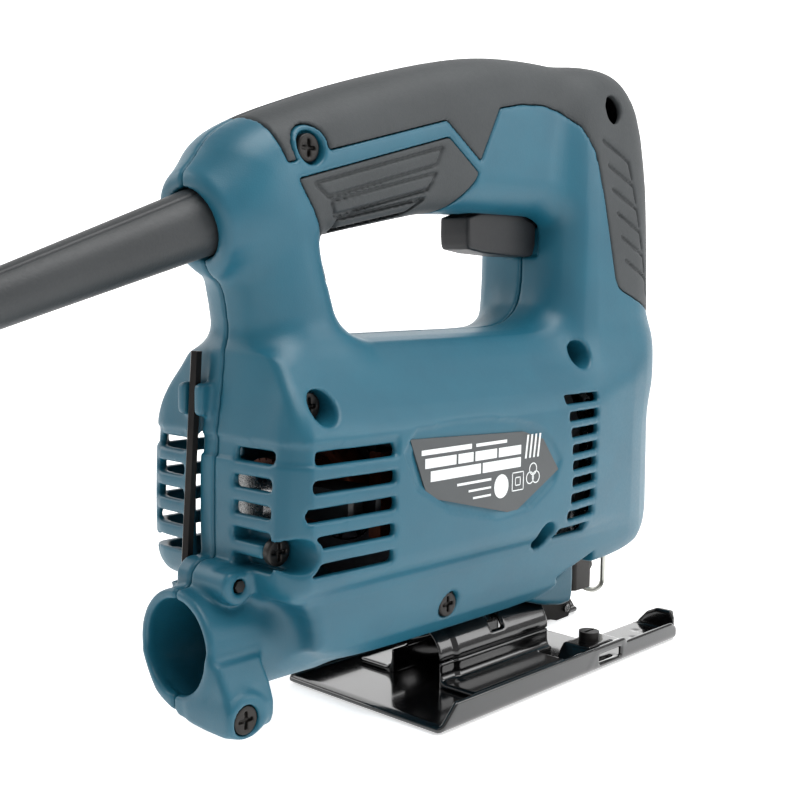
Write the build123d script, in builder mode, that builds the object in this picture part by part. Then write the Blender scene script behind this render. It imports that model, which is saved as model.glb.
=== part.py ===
from build123d import *
from math import cos, pi, radians, sin, sqrt, tan
import os

# Corded D-handle jigsaw.  Frame: +X towards the nose, +Y to the left, +Z up, origin under the
# middle of the machine on the plane that the sole rests on.  All lengths in millimetres.

# ---------------------------------------------------------------- driving dimensions
REAR_X = -108.5                 # face of the dust nozzle
NOSE_X = 108.5                  # foremost point of the housing
TOP_Z = 197.0                   # top of the handle
WALL = 2.5                      # housing wall
SKIN = 2.0                      # soft overmould on the handle
GRIP_HALF = 16.5                # half width of the handle and nose column
BODY_HALF = 33.5                # half width of the motor body
HANDLE_WALL = 4.0               # handle wall with the overmould on it
EDGE_BEVEL = 5.5                # bevel along the handle's long edges

MOTOR_Z = 68.0                  # height of the motor axis
STATOR_R = 26.5
CORE_R = 15.5
SHAFT_R = 4.0
FAN_R = 25.0
PINION_TEETH, GEAR_TEETH, MODULE = 7, 57, 0.7
PINION_R = PINION_TEETH * MODULE / 2
GEAR_R = GEAR_TEETH * MODULE / 2
GEAR_Z = MOTOR_Z + PINION_R + GEAR_R
CRANK_R = 9.0                   # half of the blade stroke
PLUNGER_X = 66.0
PLUNGER_R = 5.0
RUN = 0.05                      # radial clearance of running fits

BASE_REAR, BASE_FRONT = -42.0, 91.5
BASE_HALF = 32.5
SHEET = 2.0                     # base sheet
FLANGE_H = 7.0
TILT_Z = 10.0                   # axis of the bevel hump
HUMP_R = 11.5
HUMP_REAR, HUMP_FRONT = -17.0, 38.0
BOLT_X = 11.5                   # clamping bolt of the base
BASE_TRAVEL = 10.0

NOZZLE_R, NOZZLE_Z = 12.15, 32.9
NOZZLE_OUTER_R = 15.0
NOZZLE_LENGTH = 28.0

KEY_R = 1.6                     # hexagon key, 3.2 across its corners
KEY_PIVOT = (-98.5, 49.5)       # x, z of its short arm
KEY_Y = 8.0

GUARD_WIRE_X, GUARD_WIRE_HALF, GUARD_WIRE_R = 79.0, 5.6, 0.9

LABEL = [(-56, 85), (-6, 83), (4, 80), (12.5, 69.5), (-10, 58.5), (-48.5, 68)]
LABEL_Y = -31.4                 # bed of the nameplate

CORD_R = 3.5
GUARD_START = Vector(-101.0, 0.0, 140.0)
GUARD_SLOPE = 19.3              # degrees below horizontal
GUARD_LENGTH = 95.0
GUARD_R0, GUARD_R1 = 8.7, 4.9

os.makedirs("parts", exist_ok=True)


XZ_LEFT = Plane(origin=(0, 0, 0), x_dir=(1, 0, 0), z_dir=(0, -1, 0))     # local x = X, local y = Z


def xz_at(y):
    return Plane(origin=(0, y, 0), x_dir=(1, 0, 0), z_dir=(0, -1, 0))


def yz_at(x):
    return Plane(origin=(x, 0, 0), x_dir=(0, 1, 0), z_dir=(1, 0, 0))     # local x = Y, local y = Z


def finish(builder, name):
    builder.part.label = name
    export_step(builder.part, f"parts/{name}.step")


# ---------------------------------------------------------------- outer form of the housing
HANDLE_OUTLINE = [
    (-94, 130), (-99.5, 136), (-101.5, 145), (-101, 153), (-97.5, 161), (-88, 167.3), (-66, 175.5),
    (-47, 181.8), (-27, 187.3), (-11, 191), (4, 193.6), (20, 195.7), (38, 196.9), (60, TOP_Z), (70, 195.5),
    (78, 191), (84.5, 182), (92.5, 160), (98.2, 139), (103, 117), (107, 90), (NOSE_X, 68), (105, 53),
]
OPENING = [
    (-69, 138), (-41, 143.5), (-20, 147.5), (29, 147.5), (35, 146), (35, 121.5), (26, 113.5), (16, 106), (-47, 104),
    (-58, 106),
]
BODY_SIDE = [
    (-94, 46), (-97.5, 58), (-96.5, 82), (-92, 97), (-88.5, 112), (104, 112), (107, 90), (108.5, 68),
    (105, 53), (96.5, 43.7), (83, 37), (60, 33.5), (30, 33), (24, 22), (-78, 22), (-83, 44),
]
BODY_PLAN = [
    (-97.5, -24), (-96.5, -27), (-89, -BODY_HALF), (14, 1 - BODY_HALF), (45, -28), (70, -24.5),
    (85, -19.5), (95, -13.5), (104, -6.5), (NOSE_X, 0),
]
BODY_SECTION = [(0, 22), (14, 22), (21, 26), (25, 38), (26.5, 46), (31, 50), (BODY_HALF, 54), (BODY_HALF, 86),
                (27, 96), (17.5, 108), (14, 112), (0, 112)]
# The nose column, wider than the handle that it carries.
NOSE_SIDE = [
    (35, 98), (35, 148), (43, 168), (52, 188), (60, 195.5), (70, 194.5), (78, 190), (84, 182), (91.5, 160),
    (97, 139), (101.5, 117), (104, 98),
]
NOSE_PLAN = [(35, -23), (60, -22), (74, -19.5), (84, -15.5), (96, -9), (104, 0)]
NOSE_SECTION = [(0, 98), (23, 98), (22.5, 125), (21, 150), (18.5, 172), (15, 186), (9, 194), (0, 196)]
CORNER_DIRECTION = (0.854, 0.52)        # plan direction along which the nose's corners are drawn
NOSE_CORNER = [(-200, 90), (61.5, 90), (59.8, 116), (57.3, 139), (54.6, 160), (51.1, 176), (47, 188), (-200, 215)]


def handle_form(inset):
    """The D-handle with the nose column; every face, bevels too, is moved in by inset."""
    with BuildPart() as form:
        with BuildSketch(XZ_LEFT):
            with BuildLine():
                Polyline(*HANDLE_OUTLINE, (96.5, 50), (-89, 60), close=True)
            make_face()
            if inset:
                offset(amount=-inset, kind=Kind.INTERSECTION)
        extrude(amount=GRIP_HALF - inset, both=True)
        chamfer(form.edges().filter_by(Axis.Y, reverse=True), EDGE_BEVEL - inset * (2 - sqrt(2)))
    with BuildPart() as hole:
        with BuildSketch(XZ_LEFT):
            with BuildLine():
                Polyline(*OPENING, close=True)
            make_face()
            if inset:
                offset(amount=inset, kind=Kind.INTERSECTION)
            fillet(vertices(), 6 + inset)
        extrude(amount=60, both=True)
    return form.part, hole.part


def body_form(inset):
    """The motor body with the gear case: plan, side and section views intersected."""
    with BuildPart() as form:
        with BuildSketch(XZ_LEFT):
            with BuildLine():
                Polyline(*BODY_SIDE, close=True)
            make_face()
            if inset:
                offset(amount=-inset, kind=Kind.INTERSECTION)
        extrude(amount=60, both=True)
        with BuildSketch(Plane.XY):
            with BuildLine():
                right = [(x, y) for x, y in BODY_PLAN]
                Polyline(*right, *[(x, -y) for x, y in reversed(right[:-1])], close=True)
            make_face()
            if inset:
                offset(amount=-inset, kind=Kind.INTERSECTION)
        extrude(amount=220, mode=Mode.INTERSECT)
        with BuildSketch(yz_at(0)):
            with BuildLine():
                left = BODY_SECTION
                Polyline(*left, *[(-y, z) for y, z in reversed(left[1:-1])], close=True)
            make_face()
            if inset:
                offset(amount=-inset, kind=Kind.INTERSECTION)
        extrude(amount=130, both=True, mode=Mode.INTERSECT)
    return form.part


def nose_form(inset):
    """The nose column: side, plan, section and both corner views intersected."""
    along_x, along_y = CORNER_DIRECTION
    with BuildPart() as form:
        with BuildSketch(XZ_LEFT):
            with BuildLine():
                Polyline(*NOSE_SIDE, close=True)
            make_face()
            if inset:
                offset(amount=-inset, kind=Kind.INTERSECTION)
        extrude(amount=60, both=True)
        with BuildSketch(Plane.XY):
            with BuildLine():
                Polyline(*NOSE_PLAN, *[(x, -y) for x, y in reversed(NOSE_PLAN[:-1])], close=True)
            make_face()
            if inset:
                offset(amount=-inset, kind=Kind.INTERSECTION)
        extrude(amount=220, mode=Mode.INTERSECT)
        with BuildSketch(yz_at(0)):
            with BuildLine():
                Polyline(*NOSE_SECTION, *[(-y, z) for y, z in reversed(NOSE_SECTION[1:-1])], close=True)
            make_face()
            if inset:
                offset(amount=-inset, kind=Kind.INTERSECTION)
        extrude(amount=130, both=True, mode=Mode.INTERSECT)
        for sign in (-1, 1):
            view = Plane(origin=(0, 0, 0), x_dir=(along_y, sign * along_x, 0), z_dir=(sign * along_x, -along_y, 0))
            with BuildSketch(view):
                with BuildLine():
                    Polyline(*NOSE_CORNER, close=True)
                make_face()
                if inset:
                    offset(amount=-inset, kind=Kind.INTERSECTION)
            extrude(amount=150, both=True, mode=Mode.INTERSECT)
    return form.part


def handle_with_nose(inset):
    """The whole upper part of the housing."""
    handle, hole = handle_form(inset)
    with BuildPart() as form:
        add(handle)
        add(hole, mode=Mode.SUBTRACT)
        add(nose_form(inset))
    return form.part


OUTER_TOP = handle_with_nose(0)
SKIN_TOP = handle_with_nose(SKIN)
INNER_TOP = handle_with_nose(HANDLE_WALL)
OUTER_BODY = body_form(0)
INNER_BODY = body_form(WALL)

# ---------------------------------------------------------------- soft overmould zones
TOP_ZONE = [
    (-90, 215), (-88.5, 168), (-86.5, 161), (-84.5, 155.5), (-77, 152.2), (-71, 154.5), (-69, 160),
    (-24.6, 172.2), (-9, 162), (-0.5, 178.3), (21, 182), (30, 180.5), (38, 176.5), (43.5, 168), (46.2, 160),
    (55.5, 128.4), (59.5, 124.5), (82, 117.4), (99, 112.3), (120, 112.3), (120, 215),
]
PALM_ZONE = [
    (-80.5, 151.6), (-24.2, 167.3), (-10.4, 157.3), (-19.7, 147.1), (-27, 142), (-60, 133), (-62, 120),
    (-67.3, 125.6), (-73.9, 143),
]
PARTING = 0.02                   # the two halves of each moulding stop this far from the middle plane


def zone_block(zone):
    """Everything above and below a zone that is drawn in the side view, outside the form under the skin."""
    with BuildPart() as block:
        with BuildSketch(XZ_LEFT):
            with BuildLine():
                Polyline(*zone, close=True)
            make_face()
        extrude(amount=60, both=True)
        add(SKIN_TOP, mode=Mode.SUBTRACT)
    return block.part


def skin_piece(block):
    """The right half of the soft skin in one zone."""
    with BuildPart() as piece:
        add(OUTER_TOP)
        add(block, mode=Mode.INTERSECT)
        with Locations((0, -50, 100)):
            Box(400, 100 - 2 * PARTING, 400, mode=Mode.INTERSECT)
    return piece


TOP_BLOCK = zone_block(TOP_ZONE)
PALM_BLOCK = zone_block(PALM_ZONE)

# Shell screws: x, z, the y of the surface around each head and the depth of the head under it.
SCREWS = [
    (-76.5, 159.8, -16.5, 4.0), (54.6, 183.6, -13.4, 4.0), (-83.0, 94.5, -29.0, 4.0),
    (34.9, 103.5, -22.0, 4.0), (-92.0, 58.5, -31.0, 4.0), (8.8, 48.9, -29.0, 4.0),
    (-29.1, 33.5, -23.5, 1.5), (-103.0, 18.2, -21.5, 1.0),
]
HEAD_R, HEAD_H, SHANK_R = 3.4, 2.6, 1.5
BOSS_R = 4.4
BOSS_DEPTH = 2.2                 # a boss ends this far under the left side's surface
SCREW_TIP_Y = 9.0
TRIGGER_REAR, TRIGGER_FRONT, TRIGGER_HALF = -2.0, 32.8, 6.0

with BuildPart() as fits:        # everything cut from both shells where other pieces sit
    # trigger slot and its travel
    with Locations(((TRIGGER_REAR + TRIGGER_FRONT) / 2, 0, 146)):
        Box(TRIGGER_FRONT - TRIGGER_REAR + 2.6, 2 * TRIGGER_HALF + 1.6, 26)
    # dust nozzle bore, and the duct behind it
    with BuildSketch(yz_at(REAR_X - 1)):
        with Locations((0, NOZZLE_Z)):
            Circle(NOZZLE_R)
    extrude(amount=NOZZLE_LENGTH + 1)
    with BuildSketch(yz_at(REAR_X)):
        with Locations((0, NOZZLE_Z)):
            Circle(NOZZLE_R - 3)
    extrude(amount=NOZZLE_LENGTH + 12)
    # slot for the base bolt, and the groove that the bevel hump turns in
    with Locations((BOLT_X - BASE_TRAVEL / 2, 0, 24)):
        Box(BASE_TRAVEL + 5.6, 5.6, 12)
    with BuildSketch(yz_at(HUMP_REAR - BASE_TRAVEL - 2)):
        with Locations((0, TILT_Z)):
            Circle(HUMP_R + 0.4)
    extrude(amount=HUMP_FRONT - HUMP_REAR + BASE_TRAVEL + 2.8)
    # passage of the blade clamp
    with Locations((68, 0, 38)):
        Box(20, 13, 19)
    # lock button hole, on the left
    with Locations(Location((-2, 14, 161), (90, 0, 0))):
        Cylinder(4.6, 12)

guard_axis = Vector(-cos(radians(GUARD_SLOPE)), 0, -sin(radians(GUARD_SLOPE)))
guard_plane = Plane(origin=GUARD_START, x_dir=(0, 1, 0), z_dir=guard_axis)

SIDE_SLOTS = [(-75.5, 82.0 - 7.0 * i) for i in range(5)]
FRONT_SLOTS = [(27.5 - (0.8 * max(0, i - 6)), 90.0 - 5.2 * i) for i in range(9)]

with BuildPart() as vents:
    for x, z in SIDE_SLOTS:
        for wall_y in (-24, 64):
            with BuildSketch(xz_at(wall_y)):
                with Locations((x, z)):
                    RectangleRounded(30, 3.6, 1)
            extrude(amount=40)
    for x, z in FRONT_SLOTS:
        for wall_y in (-24, 64):
            with BuildSketch(xz_at(wall_y)):
                with Locations((x, z)):
                    RectangleRounded(16, 2.6, 0.8)
            extrude(amount=40)
    for i in range(5):
        with BuildSketch(yz_at(-110)):
            with Locations((-14.5, 82.0 - 6.6 * i), (19, 82.0 - 6.6 * i)):
                RectangleRounded(13, 3.4, 1)
        extrude(amount=17.5)

RIBS = [(-52.0, STATOR_R), (-10.0, STATOR_R)]
REAR_BEARING = (-87.0, 6.0, 9.5)          # x of its rear face, width, outer radius
FRONT_BEARING = (33.0, 7.0, 11.0)

with BuildPart() as cavity:
    add(INNER_BODY)
    add(INNER_TOP)

with BuildPart() as ribs:
    for x, bore in RIBS:
        with Locations((x, 0, MOTOR_Z)):
            Box(3, 80, 80)
    with Locations((REAR_BEARING[0] + 3, 0, MOTOR_Z)):
        Box(6, 80, 30)
    # backing of the key's groove
    with Locations((-92, KEY_Y, 74)):
        Box(8, 8, 60)
    add(cavity.part, mode=Mode.INTERSECT)
    with BuildSketch(yz_at(-60)):
        with Locations((0, MOTOR_Z)):
            Circle(STATOR_R)
    extrude(amount=60, mode=Mode.SUBTRACT)
    with BuildSketch(yz_at(-95)):
        with Locations((0, MOTOR_Z)):
            Circle(REAR_BEARING[2])
    extrude(amount=20, mode=Mode.SUBTRACT)

with BuildPart() as duct_floor:           # thick floor that the base bolt's nut slides on
    with Locations((0, 0, 24)):
        Box(60, 26, 4)

with BuildPart() as housing:
    add(OUTER_TOP)
    add(TOP_BLOCK, mode=Mode.SUBTRACT)
    add(PALM_BLOCK, mode=Mode.SUBTRACT)
    add(OUTER_BODY)
    # chin that carries the blade roller
    with BuildSketch(XZ_LEFT):
        with BuildLine():
            Polyline((22, 24), (30, 19.5), (48, 16), (49.5, 20), (49.5, 40), (22, 40), close=True)
        make_face()
    extrude(amount=12, both=True)
    # dust nozzle with its screw foot
    with BuildSketch(yz_at(REAR_X)):
        with Locations((0, NOZZLE_Z)):
            Circle(NOZZLE_OUTER_R)
    extrude(amount=36)
    with BuildSketch(yz_at(REAR_X)):
        with BuildLine():
            Polyline((-14.9, 31), (-21.5, 22), (-21.5, 15.5), (-18.5, 14), (3, 14), (14.9, 31), close=True)
        make_face()
    extrude(amount=13)
    with BuildSketch(yz_at(REAR_X + 13)):
        with BuildLine():
            Polyline((-14.9, 31), (-10, 20), (10, 20), (14.9, 31), close=True)
        make_face()
    extrude(amount=23)
    # barrel that holds the key's short arm, and the clip for its long arm
    with BuildSketch(xz_at(KEY_Y - 1.9)):
        with Locations(KEY_PIVOT):
            Circle(4.6)
    extrude(amount=20.5)
    with Locations((-93, KEY_Y, 95)):
        Box(9, 9.5, 9)
    # ring round the cord guard
    with BuildSketch(guard_plane.offset(-14)):
        Circle(11)
    extrude(amount=14)
    add(cavity.part, mode=Mode.SUBTRACT)
    add(ribs.part)
    add(duct_floor.part)
    add(fits.part, mode=Mode.SUBTRACT)
    # bosses of the shell screws, from wall to wall
    for x, z, y, sunk in SCREWS[:-1]:
        with BuildSketch(xz_at(-y - BOSS_DEPTH)):
            with Locations((x, z)):
                Circle(BOSS_R)
        extrude(amount=-y - BOSS_DEPTH - (y + sunk))
    for x, z, y, sunk in SCREWS:
        with BuildSketch(xz_at(y + sunk + HEAD_H)):
            with Locations((x, z)):
                Circle(HEAD_R + 0.3)
        extrude(amount=30, mode=Mode.SUBTRACT)
        with BuildSketch(xz_at(SCREW_TIP_Y)):
            with Locations((x, z)):
                Circle(SHANK_R)
        extrude(amount=60, mode=Mode.SUBTRACT)
    add(vents.part, mode=Mode.SUBTRACT)
    # seat of the cord guard
    with BuildSketch(guard_plane.offset(-16)):
        Circle(GUARD_R0)
    extrude(amount=20, mode=Mode.SUBTRACT)
    # the key's barrel bore, clip slot and groove
    with BuildSketch(xz_at(KEY_Y + 4)):
        with Locations(KEY_PIVOT):
            Circle(KEY_R + RUN)
    extrude(amount=40, mode=Mode.SUBTRACT)
    with BuildSketch(yz_at(-112)):
        with Locations((KEY_Y, 80)):
            Rectangle(2 * KEY_R + 0.7, 61)
    extrude(amount=20, mode=Mode.SUBTRACT)
    # label recess on the right
    with BuildSketch(xz_at(LABEL_Y)):
        with BuildLine():
            Polyline(*LABEL, close=True)
        make_face()
    extrude(amount=10, mode=Mode.SUBTRACT)
    # bores for the wire guard's legs
    for sign in (-1, 1):
        with Locations((GUARD_WIRE_X, sign * GUARD_WIRE_HALF, 40)):
            Cylinder(GUARD_WIRE_R, 20, mode=Mode.SUBTRACT)

for name, side_sign in (("right_shell", -1), ("left_shell", 1)):
    with BuildPart() as shell:
        add(housing.part)
        with Locations((0, side_sign * 60, 100)):
            Box(400, 120, 400, mode=Mode.INTERSECT)
    with BuildPart() as moulding:
        add(shell.part.solids().sort_by(SortBy.VOLUME)[-1])
    finish(moulding, name)

for name, block in (("top_grip", TOP_BLOCK), ("palm_grip", PALM_BLOCK)):
    right_skin = skin_piece(block)
    with BuildPart() as left_skin:
        add(right_skin.part.mirror(Plane.XZ))
    finish(right_skin, f"{name}_right")
    finish(left_skin, f"{name}_left")

# ---------------------------------------------------------------- fasteners and label
with BuildPart() as shell_screws:
    for x, z, y, sunk in SCREWS:
        head_y = y + sunk + HEAD_H
        with BuildSketch(xz_at(head_y)):
            with Locations((x, z)):
                Circle(HEAD_R)
        extrude(amount=HEAD_H)
        with BuildSketch(xz_at(SCREW_TIP_Y)):
            with Locations((x, z)):
                Circle(SHANK_R)
        extrude(amount=SCREW_TIP_Y - head_y)
        with Locations(Location((x, head_y - HEAD_H + 0.7, z), (0, 0, 0))):
            Box(4.2, 1.5, 1.0, mode=Mode.SUBTRACT)
            Box(1.0, 1.5, 4.2, mode=Mode.SUBTRACT)
finish(shell_screws, "shell_screws")

with BuildPart() as nameplate:
    with BuildSketch(xz_at(LABEL_Y)):
        with BuildLine():
            Polyline(*LABEL, close=True)
        make_face()
        offset(amount=-0.3, kind=Kind.INTERSECTION)
    extrude(amount=0.5)
finish(nameplate, "nameplate")

# ---------------------------------------------------------------- motor
STATOR_X0, STATOR_X1 = -52.0, -4.0


def cylinder_x(x0, x1, radius, y=0.0, z=MOTOR_Z, mode=Mode.ADD):
    """A round bar along X inside the current builder."""
    with Locations(Location((x0, y, z), (0, 90, 0))):
        Cylinder(radius, x1 - x0, align=(Align.CENTER, Align.CENTER, Align.MIN), mode=mode)


def ring_x(builder_name, x0, x1, outer, inner, y=0.0, z=MOTOR_Z):
    with BuildPart() as ring:
        cylinder_x(x0, x1, outer, y, z)
        cylinder_x(x0, x1, inner, y, z, Mode.SUBTRACT)
    finish(ring, builder_name)
    return ring


with BuildPart() as stator_core:
    cylinder_x(STATOR_X0 + 2, STATOR_X1 - 2, STATOR_R - 0.05)
    cylinder_x(STATOR_X0 + 2, STATOR_X1 - 2, CORE_R + 0.5, mode=Mode.SUBTRACT)
    for sign in (-1, 1):
        with Locations(((STATOR_X0 + STATOR_X1) / 2, sign * 17.5, MOTOR_Z)):
            Box(60, 7, 26, mode=Mode.SUBTRACT)
finish(stator_core, "stator_core")

with BuildPart() as field_coils:
    for sign in (-1, 1):
        with Locations(((STATOR_X0 + STATOR_X1) / 2, sign * 18.6, MOTOR_Z)):
            Box(STATOR_X1 - STATOR_X0 + 6, 4.4, 24)
        fillet(field_coils.edges().filter_by(Axis.Z).group_by(Axis.X)[-1], 1.5)
finish(field_coils, "field_coils")

# armature: shaft with its pinion teeth, core, windings, commutator, fan
PINION_X0, PINION_X1 = 44.0, 53.0


def gear_outline(teeth, centre, phase, slim):
    """Points of a spur gear; slim is the share of a pitch that a tooth takes at the pitch line."""
    pitch_r = teeth * MODULE / 2
    tip, root = pitch_r + MODULE * 0.95, pitch_r - MODULE * 1.2
    points = []
    for tooth in range(teeth):
        middle = phase + 2 * pi * tooth / teeth
        half = pi * slim / teeth
        for radius, share in ((root, -1.45), (pitch_r, -1.0), (tip, -0.5), (tip, 0.5), (pitch_r, 1.0), (root, 1.45)):
            angle = middle + half * share
            points.append((centre[0] + radius * cos(angle), centre[1] + radius * sin(angle)))
    return points


with BuildPart() as armature_shaft:
    cylinder_x(REAR_BEARING[0], REAR_BEARING[0] + REAR_BEARING[1], 3.5)
    cylinder_x(REAR_BEARING[0] + REAR_BEARING[1], FRONT_BEARING[0], SHAFT_R)
    cylinder_x(FRONT_BEARING[0], PINION_X0, 3.5)
    with BuildSketch(yz_at(PINION_X0)):
        with BuildLine():
            Polyline(*gear_outline(PINION_TEETH, (0, MOTOR_Z), pi / 2, 0.42), close=True)
        make_face()
    extrude(amount=PINION_X1 - PINION_X0)
finish(armature_shaft, "armature_shaft")

with BuildPart() as armature_core:
    cylinder_x(STATOR_X0 + 2, STATOR_X1 - 2, CORE_R)
    with BuildSketch(yz_at(STATOR_X0 + 2)):
        with Locations((0, MOTOR_Z)):
            with PolarLocations(CORE_R, 12):
                Rectangle(3, 1.6)
    extrude(amount=STATOR_X1 - STATOR_X0 - 4, mode=Mode.SUBTRACT)
    cylinder_x(STATOR_X0, STATOR_X1, SHAFT_R, mode=Mode.SUBTRACT)
finish(armature_core, "armature_core")

with BuildPart() as armature_winding:
    cylinder_x(-60, STATOR_X0 + 2, 13.5)
    cylinder_x(STATOR_X1 - 2, 3, 13.5)
    fillet(armature_winding.edges().filter_by(GeomType.CIRCLE), 1.8)
    cylinder_x(-61, 4, SHAFT_R, mode=Mode.SUBTRACT)
finish(armature_winding, "armature_winding")

with BuildPart() as commutator:
    cylinder_x(-78, -60, 10.5)
    with BuildSketch(yz_at(-78)):
        with Locations((0, MOTOR_Z)):
            with PolarLocations(10.5, 24):
                Rectangle(1.2, 0.5)
    extrude(amount=16, mode=Mode.SUBTRACT)
    cylinder_x(-78, -60, SHAFT_R, mode=Mode.SUBTRACT)
finish(commutator, "commutator")

with BuildPart() as fan:
    cylinder_x(14, 16, FAN_R)
    cylinder_x(14, 28, 7)
    with BuildSketch(yz_at(16)):
        with Locations((0, MOTOR_Z)):
            with PolarLocations(16, 12):
                Rectangle(16.5, 1.4, rotation=24)
    extrude(amount=9)
    cylinder_x(14, 28, SHAFT_R, mode=Mode.SUBTRACT)
finish(fan, "fan")

for name, (x0, width, outer), bore in (("rear_bearing", REAR_BEARING, 3.5), ("front_bearing", FRONT_BEARING, 3.5)):
    split_r = bore + (outer - bore) * 0.45
    ring_x(f"{name}_inner", x0, x0 + width, split_r, bore)
    ring_x(f"{name}_outer", x0, x0 + width, outer, split_r + RUN)

with BuildPart() as baffle_plate:
    cylinder_x(9.5, 11.5, 27)
    cylinder_x(9.5, 11.5, 15, mode=Mode.SUBTRACT)
    # cut off flat at the bottom, where it clears a shell screw's boss
    with Locations((10.5, 0, 39)):
        Box(4, 60, 31, mode=Mode.SUBTRACT)
finish(baffle_plate, "baffle_plate")

with BuildPart() as brush_holders:
    for sign in (-1, 1):
        with Locations((-69, sign * 20.5, MOTOR_Z)):
            Box(12, 16, 9)
            Box(8.2, 20, 5.2, mode=Mode.SUBTRACT)
finish(brush_holders, "brush_holders")

with BuildPart() as carbon_brushes:
    for sign in (-1, 1):
        with Locations((-69, sign * 17.4, MOTOR_Z)):
            Box(8, 13, 5)
    cylinder_x(-80, -58, 10.9, mode=Mode.SUBTRACT)
finish(carbon_brushes, "carbon_brushes")

# ---------------------------------------------------------------- gear case and drive
with BuildPart() as gear_case:
    with BuildSketch(yz_at(31)):
        with BuildLine():
            Polyline((-16, 48), (16, 48), (19, 60), (19, 80), (12, 97), (-12, 97), (-19, 80), (-19, 60), close=True)
        make_face()
    extrude(amount=11)
    cylinder_x(FRONT_BEARING[0], FRONT_BEARING[0] + FRONT_BEARING[1], FRONT_BEARING[2], mode=Mode.SUBTRACT)
    cylinder_x(30, 43, 6.5, mode=Mode.SUBTRACT)
    cylinder_x(34, 42, 4, z=GEAR_Z, mode=Mode.SUBTRACT)
finish(gear_case, "gear_case")

with BuildPart() as gear_case_screws:
    for y, z in ((-14, 54), (14, 54), (-10.5, 92), (10.5, 92)):
        cylinder_x(42, 44, 2.6, y, z)
finish(gear_case_screws, "gear_case_screws")

with BuildPart() as gear_shaft:
    cylinder_x(34, 52, 4, z=GEAR_Z)
finish(gear_shaft, "gear_shaft")

with BuildPart() as drive_gear:
    with BuildSketch(yz_at(45)):
        with BuildLine():
            phase = -pi / 2 + pi / GEAR_TEETH
            Polyline(*gear_outline(GEAR_TEETH, (0, GEAR_Z), phase, 0.42), close=True)
        make_face()
    extrude(amount=7)
    cylinder_x(42, 45, 7, z=GEAR_Z)
    cylinder_x(42, 53, 4 + RUN, z=GEAR_Z, mode=Mode.SUBTRACT)
finish(drive_gear, "drive_gear")

with BuildPart() as crank_pin:
    cylinder_x(52, 57.0, 3, y=CRANK_R, z=GEAR_Z)
finish(crank_pin, "crank_pin")


def cylinder_z(z0, z1, radius, x=PLUNGER_X, y=0.0, mode=Mode.ADD):
    """An upright round bar inside the current builder."""
    with Locations((x, y, z0)):
        Cylinder(radius, z1 - z0, align=(Align.CENTER, Align.CENTER, Align.MIN), mode=mode)


PLUNGER_Z0, PLUNGER_Z1 = 30.0, 144.0
with BuildPart() as plunger:
    cylinder_z(PLUNGER_Z0, PLUNGER_Z1, PLUNGER_R)
    with Locations((PLUNGER_X - 5.5, 0, GEAR_Z)):
        Box(6, 30, 12)
    with Locations((PLUNGER_X - 7, 0, GEAR_Z)):
        Box(3, 25, 6.1, mode=Mode.SUBTRACT)
finish(plunger, "plunger")

for name, z0, z1 in (("lower_bush", 52.0, 62.0), ("upper_bush", 122.0, 132.0)):
    with BuildPart() as bush:
        cylinder_z(z0, z1, 8)
        cylinder_z(z0, z1, PLUNGER_R + RUN, mode=Mode.SUBTRACT)
    finish(bush, name)

with BuildPart() as bush_seats:
    for z0, z1 in ((48.0, 62.0), (122.0, 132.0)):
        with Locations((PLUNGER_X, 0, (z0 + z1) / 2)):
            Box(20, 24, z1 - z0)
        cylinder_z(z0, z1, 8, mode=Mode.SUBTRACT)
finish(bush_seats, "bush_carriers")

with BuildPart() as dust_seal:
    cylinder_z(48, 52, 8)
    cylinder_z(48, 52, PLUNGER_R + RUN, mode=Mode.SUBTRACT)
finish(dust_seal, "dust_seal")

with BuildPart() as blade_clamp:
    with Locations((PLUNGER_X + 0.6, 0, 23.5)):
        Box(11.8, 11, 13)
    fillet(blade_clamp.edges().filter_by(Axis.Z), 2)
    with Locations((PLUNGER_X, 0, 20)):
        Box(8.2, 1.6, 8, mode=Mode.SUBTRACT)
finish(blade_clamp, "blade_clamp")

with BuildPart() as blade_clamp_screw:
    with BuildSketch(yz_at(PLUNGER_X + 6.5)):
        with Locations((0, 24)):
            Circle(2.9)
    extrude(amount=3.6)
    with BuildSketch(yz_at(PLUNGER_X + 8)):
        with Locations((0, 24)):
            RegularPolygon(1.5, 6)
    extrude(amount=3, mode=Mode.SUBTRACT)
finish(blade_clamp_screw, "blade_clamp_screw")

# ---------------------------------------------------------------- roller guide and wire guard
ROLLER_X, ROLLER_Z, ROLLER_R = 55.0, 12.5, 5.0
with BuildPart() as roller_holder:
    for sign in (-1, 1):
        with BuildSketch(xz_at(sign * 5 + 1.2)):
            with BuildLine():
                Polyline((39.5, 17.4), (40.5, 11.5), (50, 8.8), (57, 9), (58.5, 12), (57, 15.8), (48.2, 15.8),
                         close=True)
            make_face()
        extrude(amount=2.4)
    with Locations((44, 0, 13.5)):
        Box(7, 8, 4)
    with BuildSketch(xz_at(20)):
        with Locations((ROLLER_X, ROLLER_Z)):
            Circle(1.5)
    extrude(amount=40, mode=Mode.SUBTRACT)
finish(roller_holder, "roller_holder")

with BuildPart() as roller_pin:
    with BuildSketch(xz_at(7.2)):
        with Locations((ROLLER_X, ROLLER_Z)):
            Circle(1.5)
    extrude(amount=14.4)
finish(roller_pin, "roller_pin")

with BuildPart() as guide_roller:
    with BuildSketch(Plane(origin=(ROLLER_X, 0, ROLLER_Z), x_dir=(0, 1, 0), z_dir=(-1, 0, 0))):
        with BuildLine():
            Polyline((-3.4, 1.5 + RUN), (3.4, 1.5 + RUN), (3.4, 4.4), (2.2, ROLLER_R), (0.8, ROLLER_R), (0.6, 4.0),
                     (-0.6, 4.0), (-0.8, ROLLER_R), (-2.2, ROLLER_R), (-3.4, 4.4), close=True)
        make_face()
    revolve(axis=Axis((ROLLER_X, 0, ROLLER_Z), (0, 1, 0)))
finish(guide_roller, "guide_roller")

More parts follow.
